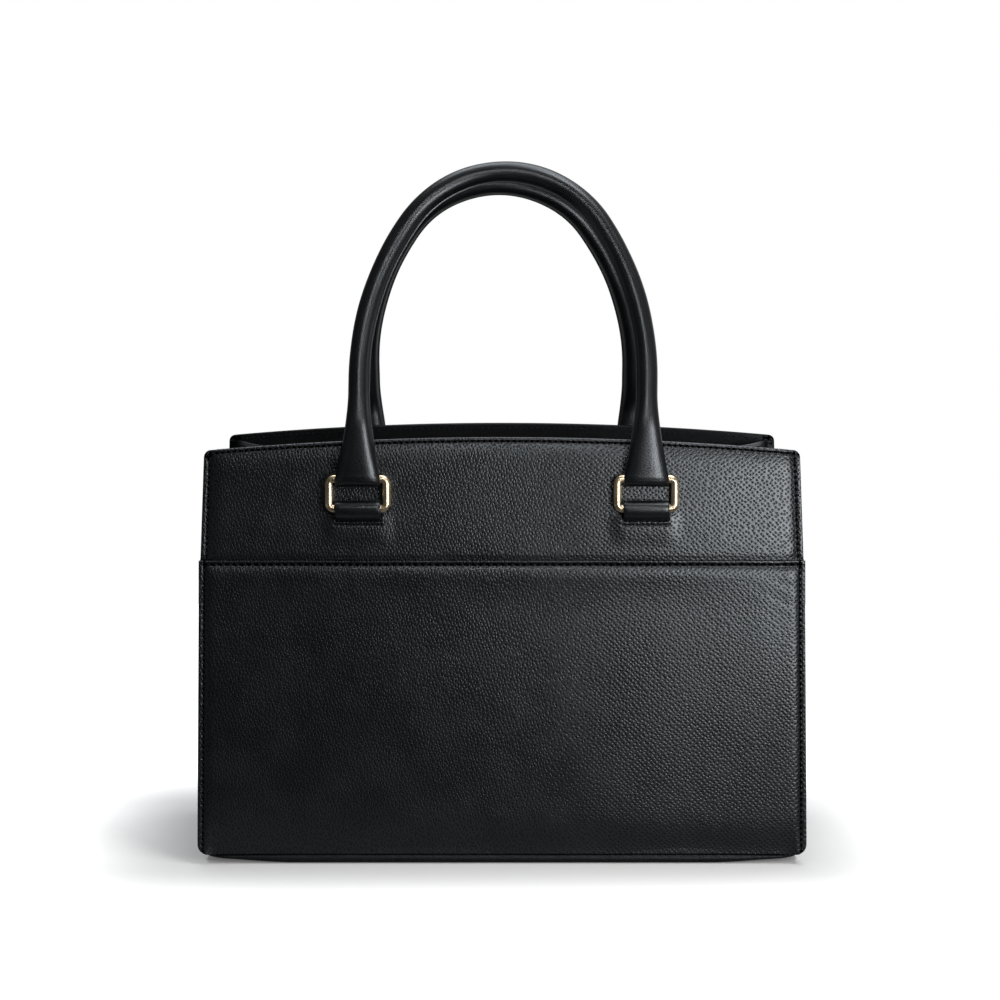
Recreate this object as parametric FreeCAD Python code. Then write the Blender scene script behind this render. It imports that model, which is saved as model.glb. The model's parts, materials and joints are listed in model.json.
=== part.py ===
import FreeCAD, Part
import math
import os

# Black leather top handle bag, in millimetres.
# The origin is on the floor under the middle of the bag, +Z is up and the front faces -Y.

# Leather walls, measured in the plane of a wall from its bottom edge
bottom_width = 309.0
seam_width = 305.0
yoke_seam_width = 303.6
top_width = 299.0
crown_height = 211.4
corner_height = 204.9
seam_height = 149.9
top_corner_radius = 3.5
bottom_corner_radius = 4.0

# How the two walls stand
bottom_depth = 130.0
top_depth = 120.0
base_height = 4.6

# Layers of a wall
yoke_leather = 1.6
seam_step = 0.8
seam_lap = 10.0
skived_edge = 0.8
stiffener_thickness = 1.2
facing_leather = 1.2
facing_height = 30.0
lining_thickness = 0.8

# Sides
gusset_leather = 1.4
gusset_flange = 4.0
gusset_drop = 2.5
fold_depth = 24.0

# Base
base_end_inset = 3.0
base_front_inset = 1.0
base_corner_radius = 22.0
base_edge_radius = 2.4
base_leather = 1.6
upstand_height = 8.0
board_thickness = 2.0
board_corner_radius = 5.0

# Rectangular rings and the straps that hold them
ring_spacing = 144.4
ring_width = 32.4
ring_height = 18.4
ring_wire = 3.6
ring_bend_radius = 2.6
lower_bar_height = 176.4
strap_leather = 1.6
strap_side_gap = 0.3
slit_drop = 4.6
strap_tail = 12.0

# Handles
handle_diameter = 10.0
core_diameter = 6.2
tab_leather = 2.1
tab_side_gap = 0.3
flare_power = 1.7
bend_rise = 6.8
bend_radius = 30.0
flare_run_out = 7.0
straight_leg = 12.0
arch_rise = 101.5
arch_top_radius = 59.0
lean = {"front": 12.0, "back": 20.0}

# Magnetic closure
snap_diameter = 18.0
snap_plate = 1.2
snap_rim = 2.4
stud_diameter = 10.0
stud_length = 1.2
snap_drop = 20.0

# Clearances
pivot_gap = 0.1
lay_gap = 0.3
fit_gap = 0.2
edge_gap = 0.5

# Values worked out from the sizes above
tilt = math.atan2((bottom_depth - top_depth) / 2, crown_height)
crown_rise = crown_height - corner_height
crown_radius = ((top_width / 2) ** 2 + crown_rise ** 2) / (2 * crown_rise)
stiffener_back = yoke_leather + stiffener_thickness
lining_back = stiffener_back + lining_thickness
lining_foot = board_thickness + lining_thickness + fit_gap
facing_back = stiffener_back + facing_leather
gusset_height = corner_height - gusset_drop
bar_radius = ring_wire / 2
bar_half = ring_width / 2 - bar_radius - ring_bend_radius
bar_distance = ring_height - ring_wire
upper_bar_height = lower_bar_height + bar_distance
pivot_bore = bar_radius + pivot_gap
strap_outer = pivot_bore + strap_leather
tab_outer = pivot_bore + tab_leather
ring_standoff = max(strap_outer, tab_outer) + lay_gap
strap_half = bar_half - strap_side_gap
tab_half = bar_half - tab_side_gap
tube_radius = handle_diameter / 2
core_radius = core_diameter / 2

V = FreeCAD.Vector
side_axis = V(1, 0, 0)
up = V(0, 0, 1)
front_place = FreeCAD.Placement(
    V(0, -bottom_depth / 2, base_height),
    FreeCAD.Rotation(side_axis, -math.degrees(tilt)),
)
half_turn = FreeCAD.Placement(V(0, 0, 0), FreeCAD.Rotation(up, 180))
wall_place = {"front": front_place, "back": half_turn.multiply(front_place)}


# Helpers shared by the pieces

def solid_of(shape):
    shape = shape.removeSplitter()
    if len(shape.Solids) != 1:
        raise ValueError("expected one solid, found %d" % len(shape.Solids))
    return shape.Solids[0]


def placed_on_wall(shape, wall):
    placed = shape.copy()
    placed.Placement = wall_place[wall].multiply(placed.Placement)
    return placed


def block(low, high):
    return Part.makeBox(high.x - low.x, high.y - low.y, high.z - low.z, low)


def slab(face, y_outer, y_inner):
    face = face.copy()
    face.translate(V(0, y_outer, 0))
    return face.extrude(V(0, y_inner - y_outer, 0))


def straight_face(right_side):
    right = [V(x, 0, z) for x, z in right_side]
    left = [V(-x, 0, z) for x, z in reversed(right_side)]
    return Part.Face(Part.makePolygon(right + left + right[:1]))


def arched_face(right_side, crown):
    right = [V(x, 0, z) for x, z in right_side]
    left = [V(-x, 0, z) for x, z in reversed(right_side)]
    sides = [Part.makeLine(a, b) for a, b in zip(right, right[1:])]
    arch = Part.Arc(right[-1], V(0, 0, crown), left[0]).toShape()
    other_sides = [Part.makeLine(a, b) for a, b in zip(left, left[1:])]
    bottom = Part.makeLine(left[-1], right[0])
    return Part.Face(Part.Wire(sides + [arch] + other_sides + [bottom]))


def rounded_corners(solid, radius, at_height):
    corners = []
    for edge in solid.Edges:
        ends = [v.Point for v in edge.Vertexes]
        level = all(abs(p.z - at_height) < 0.01 for p in ends)
        if level and len(ends) == 2 and abs(ends[0].x - ends[1].x) < 0.01:
            corners.append(edge)
    return solid.makeFillet(radius, corners)


def cylinder_along_x(radius, length, centre):
    start = V(centre.x - length / 2, centre.y, centre.z)
    return Part.makeCylinder(radius, length, start, side_axis)


def above_base(shape):
    reach = bottom_width + crown_height
    return shape.common(block(V(-reach, -reach, base_height), V(reach, reach, reach)))


# Sizes of a wall at a height, in the wall's own plane

def lower_half(z):
    return (bottom_width + (seam_width - bottom_width) * z / seam_height) / 2


def yoke_half(z):
    share = (z - seam_height) / (corner_height - seam_height)
    return (yoke_seam_width + (top_width - yoke_seam_width) * share) / 2


def wall_half(z):
    return lower_half(z) if z < seam_height else yoke_half(z)


def edge_height(x):
    return crown_height - crown_radius + math.sqrt(crown_radius ** 2 - x ** 2)


# Half the distance between the walls at a height, at a depth into their layers

def half_depth(layer, z):
    return bottom_depth / 2 - layer / math.cos(tilt) - z * math.sin(tilt)


# How far the inner layers stay from a wall's side edge, to clear the folded gusset

fold_run = half_depth(yoke_leather, gusset_height)
gusset_across = gusset_leather * math.hypot(1, fold_depth / fold_run)
inner_layers = facing_back - yoke_leather
inner_inset = gusset_flange + gusset_across + fold_depth * inner_layers / fold_run + fit_gap


def inner_side(z_low, z_high):
    heights = [z_low, z_high]
    if z_low < seam_height < z_high:
        heights.insert(1, seam_height)
    return [(wall_half(z) - inner_inset, z) for z in heights]


# Walls

def slit_box(x, gap):
    top = lower_bar_height - slit_drop + strap_leather
    low = V(x - strap_half - gap, -ring_standoff, top - 2 * strap_leather - gap)
    return block(low, V(x + strap_half + gap, yoke_leather, top + gap))


def cut_slits(solid):
    for x in (-ring_spacing / 2, ring_spacing / 2):
        solid = solid.cut(slit_box(x, fit_gap))
    return solid


def yoke():
    low = seam_height - seam_lap
    face = arched_face([(yoke_half(low), low), (top_width / 2, corner_height)], crown_height)
    solid = rounded_corners(slab(face, 0, yoke_leather), top_corner_radius, corner_height)
    skived = block(V(-bottom_width, 0, low), V(bottom_width, yoke_leather - skived_edge, seam_height))
    return solid_of(cut_slits(solid.cut(skived)))


def lower_panel():
    face = straight_face([(lower_half(0), 0), (lower_half(seam_height), seam_height)])
    solid = rounded_corners(slab(face, -seam_step, yoke_leather), bottom_corner_radius, 0)
    rebate_low = V(-bottom_width, yoke_leather - skived_edge, seam_height - seam_lap)
    solid = solid.cut(block(rebate_low, V(bottom_width, yoke_leather, seam_height)))
    return solid_of(cut_slits(solid))


def stiffener():
    side = inner_side(upstand_height + fit_gap, edge_height(yoke_half(corner_height) - inner_inset))
    solid = slab(arched_face(side, crown_height), yoke_leather, stiffener_back)
    for x in (-ring_spacing / 2, ring_spacing / 2):
        slit = slit_box(x, 2 * fit_gap).BoundBox
        window_low = V(slit.XMin, yoke_leather, slit.ZMin - strap_tail)
        solid = solid.cut(block(window_low, V(slit.XMax, stiffener_back, slit.ZMax)))
    return solid_of(solid)


def facing():
    top = edge_height(yoke_half(corner_height) - inner_inset)
    side = inner_side(corner_height - facing_height, top)
    return slab(arched_face(side, crown_height), stiffener_back, facing_back)


def wall_lining():
    side = inner_side(lining_foot, corner_height - facing_height)
    return slab(straight_face(side), stiffener_back, lining_back)


# Gussets and side linings: a plan outline that folds further inward as it rises

def fold_at(z):
    return fold_depth * z / gusset_height


def plan_wire(points, z):
    floor_height = base_height + z * math.cos(tilt)
    corners = [V(x, y, floor_height) for x, y in points]
    return Part.makePolygon(corners + corners[:1])


def gusset_plan(z, tip_inset):
    tip = wall_half(z) - tip_inset
    wall = wall_half(z) - gusset_flange
    fold = wall - fold_at(z)
    front = half_depth(yoke_leather, z)
    behind = front - gusset_leather
    outside = [(tip, -front), (tip, -behind), (wall, -behind), (fold, 0), (wall, behind), (tip, behind)]
    inside = [(wall - gusset_across, front), (fold - gusset_across, 0), (wall - gusset_across, -front)]
    return plan_wire(outside + [(tip, front)] + inside, z)


def gusset():
    corner_cut = min(bottom_corner_radius, gusset_flange - gusset_leather)
    plans = [gusset_plan(0, corner_cut)]
    plans += [gusset_plan(z, 0) for z in (bottom_corner_radius, seam_height, gusset_height)]
    return Part.makeLoft(plans, True, True)


def side_lining_plan(z):
    fold = fold_at(z)
    wall = wall_half(z) - gusset_flange - gusset_across - fit_gap
    end = half_depth(facing_back, z) - fit_gap
    near = wall - fold * (1 - end / half_depth(yoke_leather, z))
    cloth = lining_thickness * gusset_across / gusset_leather
    outside = [(near, -end), (wall - fold, 0), (near, end)]
    inside = [(x - cloth, y) for x, y in reversed(outside)]
    return plan_wire(outside + inside, z)


def side_lining():
    heights = (lining_foot, seam_height, gusset_height)
    return Part.makeLoft([side_lining_plan(z) for z in heights], True, True)


# Base

def rounded_plate(half_x, half_y, radius, low, high):
    plate = block(V(-half_x, -half_y, low), V(half_x, half_y, high))
    uprights = [e for e in plate.Edges if abs(e.Vertexes[0].Z - e.Vertexes[-1].Z) > 0.01]
    return plate.makeFillet(radius, uprights)


base_half_x = bottom_width / 2 - base_end_inset
base_half_y = bottom_depth / 2 - base_front_inset


def base_panel():
    plate = rounded_plate(base_half_x, base_half_y, base_corner_radius, 0, base_height)
    under = [e for e in plate.Edges if max(v.Z for v in e.Vertexes) < 0.01]
    plate = plate.makeFillet(base_edge_radius, under)
    skin_low = base_height - base_leather
    skin = rounded_plate(base_half_x, base_half_y, bottom_corner_radius, skin_low, base_height)
    plate = plate.fuse(skin)
    strip_half = base_half_x - base_corner_radius
    strip = block(V(-strip_half, yoke_leather, -base_height), V(strip_half, stiffener_back, upstand_height))
    for wall in wall_place:
        plate = plate.fuse(above_base(placed_on_wall(strip, wall)))
    return solid_of(plate)


def base_sheet(low, high):
    half_x = wall_half(high) - gusset_flange - gusset_across - fold_at(high) - 2 * fit_gap
    half_y = half_depth(stiffener_back, high) - fit_gap
    return rounded_plate(half_x, half_y, board_corner_radius, base_height + low, base_height + high)


# Ring straps

def tangent_point(centre, radius, point, turn):
    away = point.sub(centre)
    angle = math.atan2(away.z, away.y) + turn * math.acos(radius / away.Length)
    return centre.add(V(0, radius * math.cos(angle), radius * math.sin(angle)))


def ring_strap(x):
    half = V(strap_half, 0, 0)
    bar = V(x, -ring_standoff, lower_bar_height)
    slit = slit_box(x, 0).BoundBox
    low = V(x, 0, slit.ZMin)
    high = V(x, 0, slit.ZMax)
    inner_low = V(x, yoke_leather, slit.ZMin)
    inner_high = V(x, yoke_leather, slit.ZMax)
    front = tangent_point(bar, strap_outer, low, -1)
    rear = tangent_point(bar, strap_outer, high, 1)
    tongue = [front, low, inner_low, inner_high, high, rear, bar, front]
    tongue = Part.Face(Part.makePolygon([p.sub(half) for p in tongue])).extrude(half * 2)
    tail_low = V(slit.XMin, yoke_leather, slit.ZMin - strap_tail)
    tail = block(tail_low, V(slit.XMax, stiffener_back, slit.ZMax))
    strap = cylinder_along_x(strap_outer, 2 * strap_half, bar).multiFuse([tongue, tail])
    return solid_of(strap.cut(cylinder_along_x(pivot_bore, 2 * strap_half, bar)))


# Rings: four round bars joined by four bends

def ring(x):
    centre = V(x, -ring_standoff, lower_bar_height + bar_distance / 2)
    half_x = ring_width / 2 - bar_radius
    half_z = bar_distance / 2
    upright = bar_distance - 2 * ring_bend_radius
    pieces = []
    for side in (-1, 1):
        pieces.append(cylinder_along_x(bar_radius, 2 * bar_half, centre.add(V(0, 0, side * half_z))))
        foot = centre.add(V(side * half_x, 0, -upright / 2))
        pieces.append(Part.makeCylinder(bar_radius, upright, foot, up))
        for level in (-1, 1):
            bend_centre = centre.add(V(side * bar_half, 0, level * upright / 2))
            section = Part.makeCircle(bar_radius, bend_centre.add(V(side * ring_bend_radius, 0, 0)), up)
            bend = Part.Face(Part.Wire([section])).revolve(bend_centre, V(0, -1, 0), side * level * 90)
            pieces.append(bend)
    return solid_of(pieces[0].multiFuse(pieces[1:]))


# Handles: a leg rises along the wall, bends inward over the top edge and runs into the arch

arch_half = ring_spacing / 2
bend_start = edge_height(arch_half) - upper_bar_height + bend_rise
flare_length = bend_start + bend_radius * math.radians(max(lean.values())) + flare_run_out
leg_length = flare_length + straight_leg
leg_offset = tube_radius + edge_gap
arch_side_radius = (
    (arch_half ** 2 + arch_rise ** 2 - 2 * arch_rise * arch_top_radius) / (2 * (arch_half - arch_top_radius))
)


def leg_at(run, lean_angle):
    bow = ring_standoff + (leg_offset - ring_standoff) * min(1, run / bend_start)
    turn = math.radians(lean_angle) - tilt
    angle = min(max(run - bend_start, 0) / bend_radius, turn)
    past = max(run - bend_start - bend_radius * turn, 0)
    inward = bend_radius * (1 - math.cos(angle)) + past * math.sin(angle)
    rise = min(run, bend_start) + bend_radius * math.sin(angle) + past * math.cos(angle)
    return V(0, inward - bow, upper_bar_height + rise), angle


def arch_path(lean_angle):
    join = math.atan2(arch_rise - arch_top_radius, arch_side_radius - arch_half)

    def on_plane(x, run):
        return leg_at(run, lean_angle)[0].add(V(x, 0, 0))

    def on_side(side, angle):
        x = arch_half - arch_side_radius + arch_side_radius * math.cos(angle)
        return on_plane(side * x, leg_length + arch_side_radius * math.sin(angle))

    foot = {side: on_plane(side * arch_half, flare_length) for side in (-1, 1)}
    top = on_plane(0, leg_length + arch_rise)
    return Part.Wire([
        Part.makeLine(foot[-1], on_side(-1, 0)),
        Part.Arc(on_side(-1, 0), on_side(-1, join / 2), on_side(-1, join)).toShape(),
        Part.Arc(on_side(-1, join), top, on_side(1, join)).toShape(),
        Part.Arc(on_side(1, join), on_side(1, join / 2), on_side(1, 0)).toShape(),
        Part.makeLine(on_side(1, 0), foot[1]),
    ])


def arch_tube(radius, lean_angle):
    path = arch_path(lean_angle)
    start, angle = leg_at(flare_length, lean_angle)
    start = start.sub(V(arch_half, 0, 0))
    section = Part.Wire([Part.makeCircle(radius, start, V(0, math.sin(angle), math.cos(angle)))])
    return path.makePipeShell([section], True, False)


def flare(x, lean_angle):
    sections = []
    steps = 6
    for step in range(steps + 1):
        run = pivot_bore + (flare_length - pivot_bore) * step / steps
        narrowing = (1 - step / steps) ** flare_power
        half_width = tube_radius + (tab_half - tube_radius) * narrowing
        half_thick = tube_radius + (tab_outer - tab_leather / 2 - tube_radius) * narrowing
        centre, angle = leg_at(run, lean_angle)
        centre = centre.add(V(x, 0, 0))
        along = V(0, math.sin(angle), math.cos(angle))
        across = V(0, math.cos(angle), -math.sin(angle))
        if step < steps:
            curve = Part.Ellipse(centre.add(side_axis * half_width), centre.add(across * half_thick), centre)
        else:
            curve = Part.Circle(centre, along, tube_radius)
            curve.XAxis = side_axis
        sections.append(Part.Wire([curve.toShape()]))
    return Part.makeLoft(sections, True, False)


def handle_cover(lean_angle):
    cover = arch_tube(tube_radius, lean_angle)
    for x in (-arch_half, arch_half):
        bar = V(x, -ring_standoff, upper_bar_height)
        wrap = cylinder_along_x(tab_outer, 2 * tab_half, bar)
        cover = cover.multiFuse([flare(x, lean_angle), wrap])
        cover = cover.cut(cylinder_along_x(pivot_bore, 2 * tab_half, bar))
    return solid_of(cover.cut(arch_tube(core_radius + pivot_gap, lean_angle)))


def handle_core(lean_angle):
    return arch_tube(core_radius, lean_angle)


# Closure

def snap_socket():
    seat = V(0, facing_back, crown_height - snap_drop)
    disc = Part.makeCylinder(snap_diameter / 2, snap_rim, seat, V(0, 1, 0))
    well = seat.add(V(0, snap_plate, 0))
    return disc.cut(Part.makeCylinder(stud_diameter / 2 + fit_gap, snap_rim, well, V(0, 1, 0)))


def snap_stud():
    seat = V(0, facing_back, crown_height - snap_drop)
    disc = Part.makeCylinder(snap_diameter / 2, snap_plate, seat, V(0, 1, 0))
    stud = Part.makeCylinder(stud_diameter / 2, snap_plate + stud_length, seat, V(0, 1, 0))
    return solid_of(disc.fuse(stud))


# The whole bag

def bag():
    pieces = {}
    for wall in wall_place:
        pieces[wall + "_yoke"] = placed_on_wall(yoke(), wall)
        pieces[wall + "_lower_panel"] = above_base(placed_on_wall(lower_panel(), wall))
        pieces[wall + "_stiffener"] = placed_on_wall(stiffener(), wall)
        pieces[wall + "_facing"] = placed_on_wall(facing(), wall)
        pieces[wall + "_lining"] = placed_on_wall(wall_lining(), wall)
        end = {"front": "front", "back": "rear"}[wall]
        facing_side = {"front": 1, "back": -1}[wall]
        for side, name in ((-1, "left"), (1, "right")):
            x = side * facing_side * ring_spacing / 2
            pieces["%s_%s_chape" % (end, name)] = placed_on_wall(ring_strap(x), wall)
            pieces["%s_%s_ring" % (end, name)] = placed_on_wall(ring(x), wall)
        pieces[end + "_handle_cover"] = placed_on_wall(handle_cover(lean[wall]), wall)
        pieces[end + "_handle_core"] = placed_on_wall(handle_core(lean[wall]), wall)
    for side, turn in (("right", 0), ("left", 180)):
        for name, piece in (("gusset", gusset()), ("lining", side_lining())):
            piece.rotate(V(0, 0, 0), up, turn)
            pieces[side + "_" + name] = piece
    pieces["base_panel"] = base_panel()
    pieces["base_board"] = base_sheet(0, board_thickness)
    pieces["base_lining"] = base_sheet(board_thickness, board_thickness + lining_thickness)
    pieces["snap_socket"] = placed_on_wall(snap_socket(), "front")
    pieces["snap_stud"] = placed_on_wall(snap_stud(), "back")
    return pieces


os.makedirs("parts", exist_ok=True)
for node, piece in bag().items():
    piece = piece.Solids[0]
    piece.exportStep("parts/%s.step" % node)
    box = piece.BoundBox
    print("%-20s valid %s  volume %9.1f  x %7.1f %7.1f  y %6.1f %6.1f  z %6.1f %6.1f" % (
        node, piece.isValid(), piece.Volume, box.XMin, box.XMax, box.YMin, box.YMax, box.ZMin, box.ZMax))
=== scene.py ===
import bpy
import json
import math
import numpy as np
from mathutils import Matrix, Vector


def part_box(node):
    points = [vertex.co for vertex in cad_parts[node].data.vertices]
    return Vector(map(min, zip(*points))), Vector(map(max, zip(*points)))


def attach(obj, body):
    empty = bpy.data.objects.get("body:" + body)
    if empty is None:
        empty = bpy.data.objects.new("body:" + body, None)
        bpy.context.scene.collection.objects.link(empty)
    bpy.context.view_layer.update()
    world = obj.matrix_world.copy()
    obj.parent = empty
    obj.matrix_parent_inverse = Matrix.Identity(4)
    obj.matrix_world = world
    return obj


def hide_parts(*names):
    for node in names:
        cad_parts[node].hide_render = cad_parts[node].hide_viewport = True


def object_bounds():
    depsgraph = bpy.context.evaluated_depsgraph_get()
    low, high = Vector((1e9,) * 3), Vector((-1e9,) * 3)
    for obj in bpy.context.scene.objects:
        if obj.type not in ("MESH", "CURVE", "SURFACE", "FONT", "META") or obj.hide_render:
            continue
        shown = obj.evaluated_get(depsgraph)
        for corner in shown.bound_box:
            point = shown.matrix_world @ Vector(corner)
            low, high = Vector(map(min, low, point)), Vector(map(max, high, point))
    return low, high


# Black leather top handle bag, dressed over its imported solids. Metres, +Z up, front towards -Y.
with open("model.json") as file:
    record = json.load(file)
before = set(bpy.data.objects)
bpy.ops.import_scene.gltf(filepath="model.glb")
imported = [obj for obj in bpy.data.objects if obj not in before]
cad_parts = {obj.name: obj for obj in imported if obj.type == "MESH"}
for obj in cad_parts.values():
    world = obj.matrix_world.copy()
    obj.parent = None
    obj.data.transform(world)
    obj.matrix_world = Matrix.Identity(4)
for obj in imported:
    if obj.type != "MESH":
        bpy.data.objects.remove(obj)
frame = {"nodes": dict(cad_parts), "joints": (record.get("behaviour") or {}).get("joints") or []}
cadLow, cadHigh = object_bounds()
mm = 0.001
print("frame loaded with", len(frame["nodes"]), "nodes")


def inMm(**lengths):
    return {key: length * mm for key, length in lengths.items()}


# Camera, floor and light

studio = dict(
    eye=(-1.0 * mm, -1288.3 * mm, 299.9 * mm), pitchDown=5.349, lens=88.44, sensor=36.0, nearClip=0.05,
    floorRadius=0.95, floorGap=0.2 * mm, floorGrey=0.8, paintedShadeGlow=0.10, paintedShadeReach=0.12, paintedShadowShift=0.006,
    frontFloor=0.006, backFloor=0.2, backRun=(-0.1, 0.3), sideFloor=0.2, sideRun=(0.22, 0.55),
    footFloor=0.16, footRun=(0.0, 0.25), ambient=0.2, frontDark=0.006, frontSpan=(-0.92, -0.5),
    leftGlow=0.04, sideGlow=0.2, leftSpan=(-0.9, 0.1), backDim=0.15, backGlow=0.6, backSpan=(-0.35, 0.35),
    behindSpan=(0.35, 0.9),
)
lamps = dict(
    key=dict(at=(0.28, -0.55, 0.185), aim=(0.06, -0.06, 0.17), size=(0.22, 0.22), power=1.6,
             tint=(1.0, 0.99, 0.97)),
    high=dict(at=(0.58, -0.6, 1.7), aim=(0, 0, 0.05), size=(0.55, 0.55), power=8.0, tint=(1.0, 0.99, 0.98)),
    strip=dict(at=(-0.60, -0.82, 0.32), aim=(0, -0.06, 0.18), size=(0.24, 0.24), power=0.03,
               tint=(1.0, 0.96, 0.9)),
    top=dict(at=(0.05, 0.2, 1.5), aim=(0, 0, 0.1), size=(1.2, 0.9), power=11.5, tint=(0.95, 0.98, 1.0)),
    face=dict(at=(0.02, -0.58, 0.45), aim=(0, 0, 0.27), size=(0.16, 0.08), power=0.42,
              tint=(1.0, 0.99, 0.97)),
)
white = (1, 1, 1, 1)


def setInputs(tree, node, inputs):
    # a socket makes a link, anything else is a fixed value
    for key, value in inputs.items():
        if isinstance(value, bpy.types.NodeSocket):
            tree.links.new(value, node.inputs[key])
        else:
            node.inputs[key].default_value = value


def addNode(tree, kind, inputs=None, **settings):
    # one shader node: settings first, then values or links for its sockets
    node = tree.nodes.new(kind)
    for key, value in settings.items():
        setattr(node, key, value)
    setInputs(tree, node, inputs or {})
    return node


def math2(tree, operation, a, b=0.0):
    return addNode(tree, "ShaderNodeMath", {0: a, 1: b}, operation=operation).outputs[0]


def vector2(tree, operation, a, b=(0, 0, 0)):
    return addNode(tree, "ShaderNodeVectorMath", {0: a, 1: b}, operation=operation).outputs[0]


def scaled(tree, vector, factor):
    return addNode(tree, "ShaderNodeVectorMath", {0: vector, "Scale": factor}, operation="SCALE").outputs[0]


def timesPlus(tree, kind, a, b, c):
    # a times b plus c, for kind Math or VectorMath
    return addNode(tree, "ShaderNode" + kind, {0: a, 1: b, 2: c}, operation="MULTIPLY_ADD").outputs[0]


def blend(tree, share, a, b):
    return addNode(tree, "ShaderNodeMix", {"Factor": share, "A": a, "B": b}).outputs[0]


def ramp(tree, value, low, high, toLow=0.0, toHigh=1.0):
    # smooth change from toLow at low to toHigh at high
    return addNode(tree, "ShaderNodeMapRange", {
        "Value": value, "From Min": low, "From Max": high, "To Min": toLow, "To Max": toHigh},
        interpolation_type="SMOOTHSTEP").outputs[0]


def splitXyz(tree, vector):
    return addNode(tree, "ShaderNodeSeparateXYZ", {0: vector}).outputs


def mirrorRay(tree, path):
    return math2(tree, "MAXIMUM", path["Is Glossy Ray"], path["Is Transmission Ray"])


def addObject(name, data):
    added = bpy.data.objects.new(name, data)
    bpy.context.scene.collection.objects.link(added)
    return added


def emptyTree(owner):
    owner.use_nodes = True
    owner.node_tree.nodes.clear()
    return owner.node_tree


def buildCamera():
    cameraData = bpy.data.cameras.new("camera")
    cameraData.lens = studio["lens"]
    cameraData.sensor_width = studio["sensor"]
    cameraData.clip_start = studio["nearClip"]
    camera = addObject("camera", cameraData)
    camera.location = studio["eye"]
    camera.rotation_euler = (math.radians(90 - studio["pitchDown"]), 0, 0)
    bpy.context.scene.camera = camera


def buildFloor():
    # a round pale floor; its emission rises from the bag outwards, so the floor is painted darker as shadow
    # near the bag, a little more to its left; mirror rays see it dark in front, paler to the sides, to the
    # back and at the foot
    turns = np.linspace(0, 2 * np.pi, 96, endpoint=False)
    rim = np.stack([np.cos(turns), np.sin(turns), 0 * turns], -1) * studio["floorRadius"]
    rim[:, 2] = -studio["floorGap"]
    mesh = bpy.data.meshes.new("floor")
    mesh.from_pydata(rim.tolist(), [], [list(range(len(turns)))])
    floor = addObject("floor", mesh)
    material = bpy.data.materials.new("paleFloor")
    tree = emptyTree(material)
    path = addNode(tree, "ShaderNodeLightPath").outputs
    place = addNode(tree, "ShaderNodeTexCoord").outputs["Object"]
    across = vector2(tree, "ABSOLUTE", vector2(tree, "ADD", place, (studio["paintedShadowShift"], 0, 0)))
    away = vector2(tree, "MAXIMUM", vector2(tree, "SUBTRACT", across, (cadHigh.x, cadHigh.y, 0)))
    away = addNode(tree, "ShaderNodeVectorMath", {0: away}, operation="LENGTH").outputs["Value"]
    glowWithPaintedShade = ramp(tree, away, 0.0, studio["paintedShadeReach"], studio["paintedShadeGlow"], 1.0)
    shown = math2(tree, "MULTIPLY", glowWithPaintedShade, path["Is Camera Ray"])
    mirrored = studio["frontFloor"]
    for value, run, first, last in (
            (splitXyz(tree, place)["Y"], studio["backRun"], 0.0, studio["backFloor"]),
            (splitXyz(tree, across)["X"], studio["sideRun"], 0.0, studio["sideFloor"]),
            (away, studio["footRun"], studio["footFloor"], 0.0)):
        mirrored = math2(tree, "MAXIMUM", mirrored, ramp(tree, value, *run, first, last))
    grey = studio["floorGrey"]
    dull = addNode(tree, "ShaderNodeBsdfDiffuse", {"Color": (grey, grey, grey, 1)})
    lit = addNode(tree, "ShaderNodeEmission", {"Color": white, "Strength": shown})
    plain = addNode(tree, "ShaderNodeAddShader", {0: dull.outputs[0], 1: lit.outputs[0]})
    inMirror = addNode(tree, "ShaderNodeEmission", {"Color": white, "Strength": mirrored})
    both = addNode(tree, "ShaderNodeMixShader", {
        0: mirrorRay(tree, path), 1: plain.outputs[0], 2: inMirror.outputs[0]})
    addNode(tree, "ShaderNodeOutputMaterial", {"Surface": both.outputs[0]})
    floor.data.materials.append(material)


def buildWorld():
    # white where the camera looks; mirror rays see a studio that is dark behind the camera, pale at the
    # sides, dimmer at the left, and brighter behind the bag, where it rises from left to right
    world = bpy.data.worlds.new("studio")
    bpy.context.scene.world = world
    tree = emptyTree(world)
    path = addNode(tree, "ShaderNodeLightPath").outputs
    way = splitXyz(tree, addNode(tree, "ShaderNodeTexCoord").outputs["Generated"])
    side = ramp(tree, way["X"], *studio["leftSpan"], studio["leftGlow"], studio["sideGlow"])
    side = ramp(tree, way["Y"], *studio["frontSpan"], studio["frontDark"], side)
    back = ramp(tree, way["X"], *studio["backSpan"], studio["backDim"], studio["backGlow"])
    seen = ramp(tree, way["Y"], *studio["behindSpan"], side, back)
    dim = blend(tree, mirrorRay(tree, path), studio["ambient"], seen)
    level = blend(tree, path["Is Camera Ray"], dim, 1.0)
    shine = addNode(tree, "ShaderNodeBackground", {"Color": white, "Strength": level})
    addNode(tree, "ShaderNodeOutputWorld", {"Surface": shine.outputs[0]})


def softbox(name, at, aim, size, power, tint):
    lamp = bpy.data.lights.new(name, "AREA")
    lamp.shape = "RECTANGLE"
    lamp.size, lamp.size_y = size
    lamp.energy = power
    lamp.color = tint
    box = addObject(name, lamp)
    box.location = at
    box.visible_camera = False
    box.rotation_euler = (Vector(aim) - Vector(at)).to_track_quat("-Z", "Y").to_euler()


bpy.context.scene.view_settings.view_transform = "Standard"
buildCamera()
buildFloor()
buildWorld()
for lampName, lampForm in lamps.items():
    softbox(lampName + "_softbox", **lampForm)
print("camera, floor and light ready")


# Finishes

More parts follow.
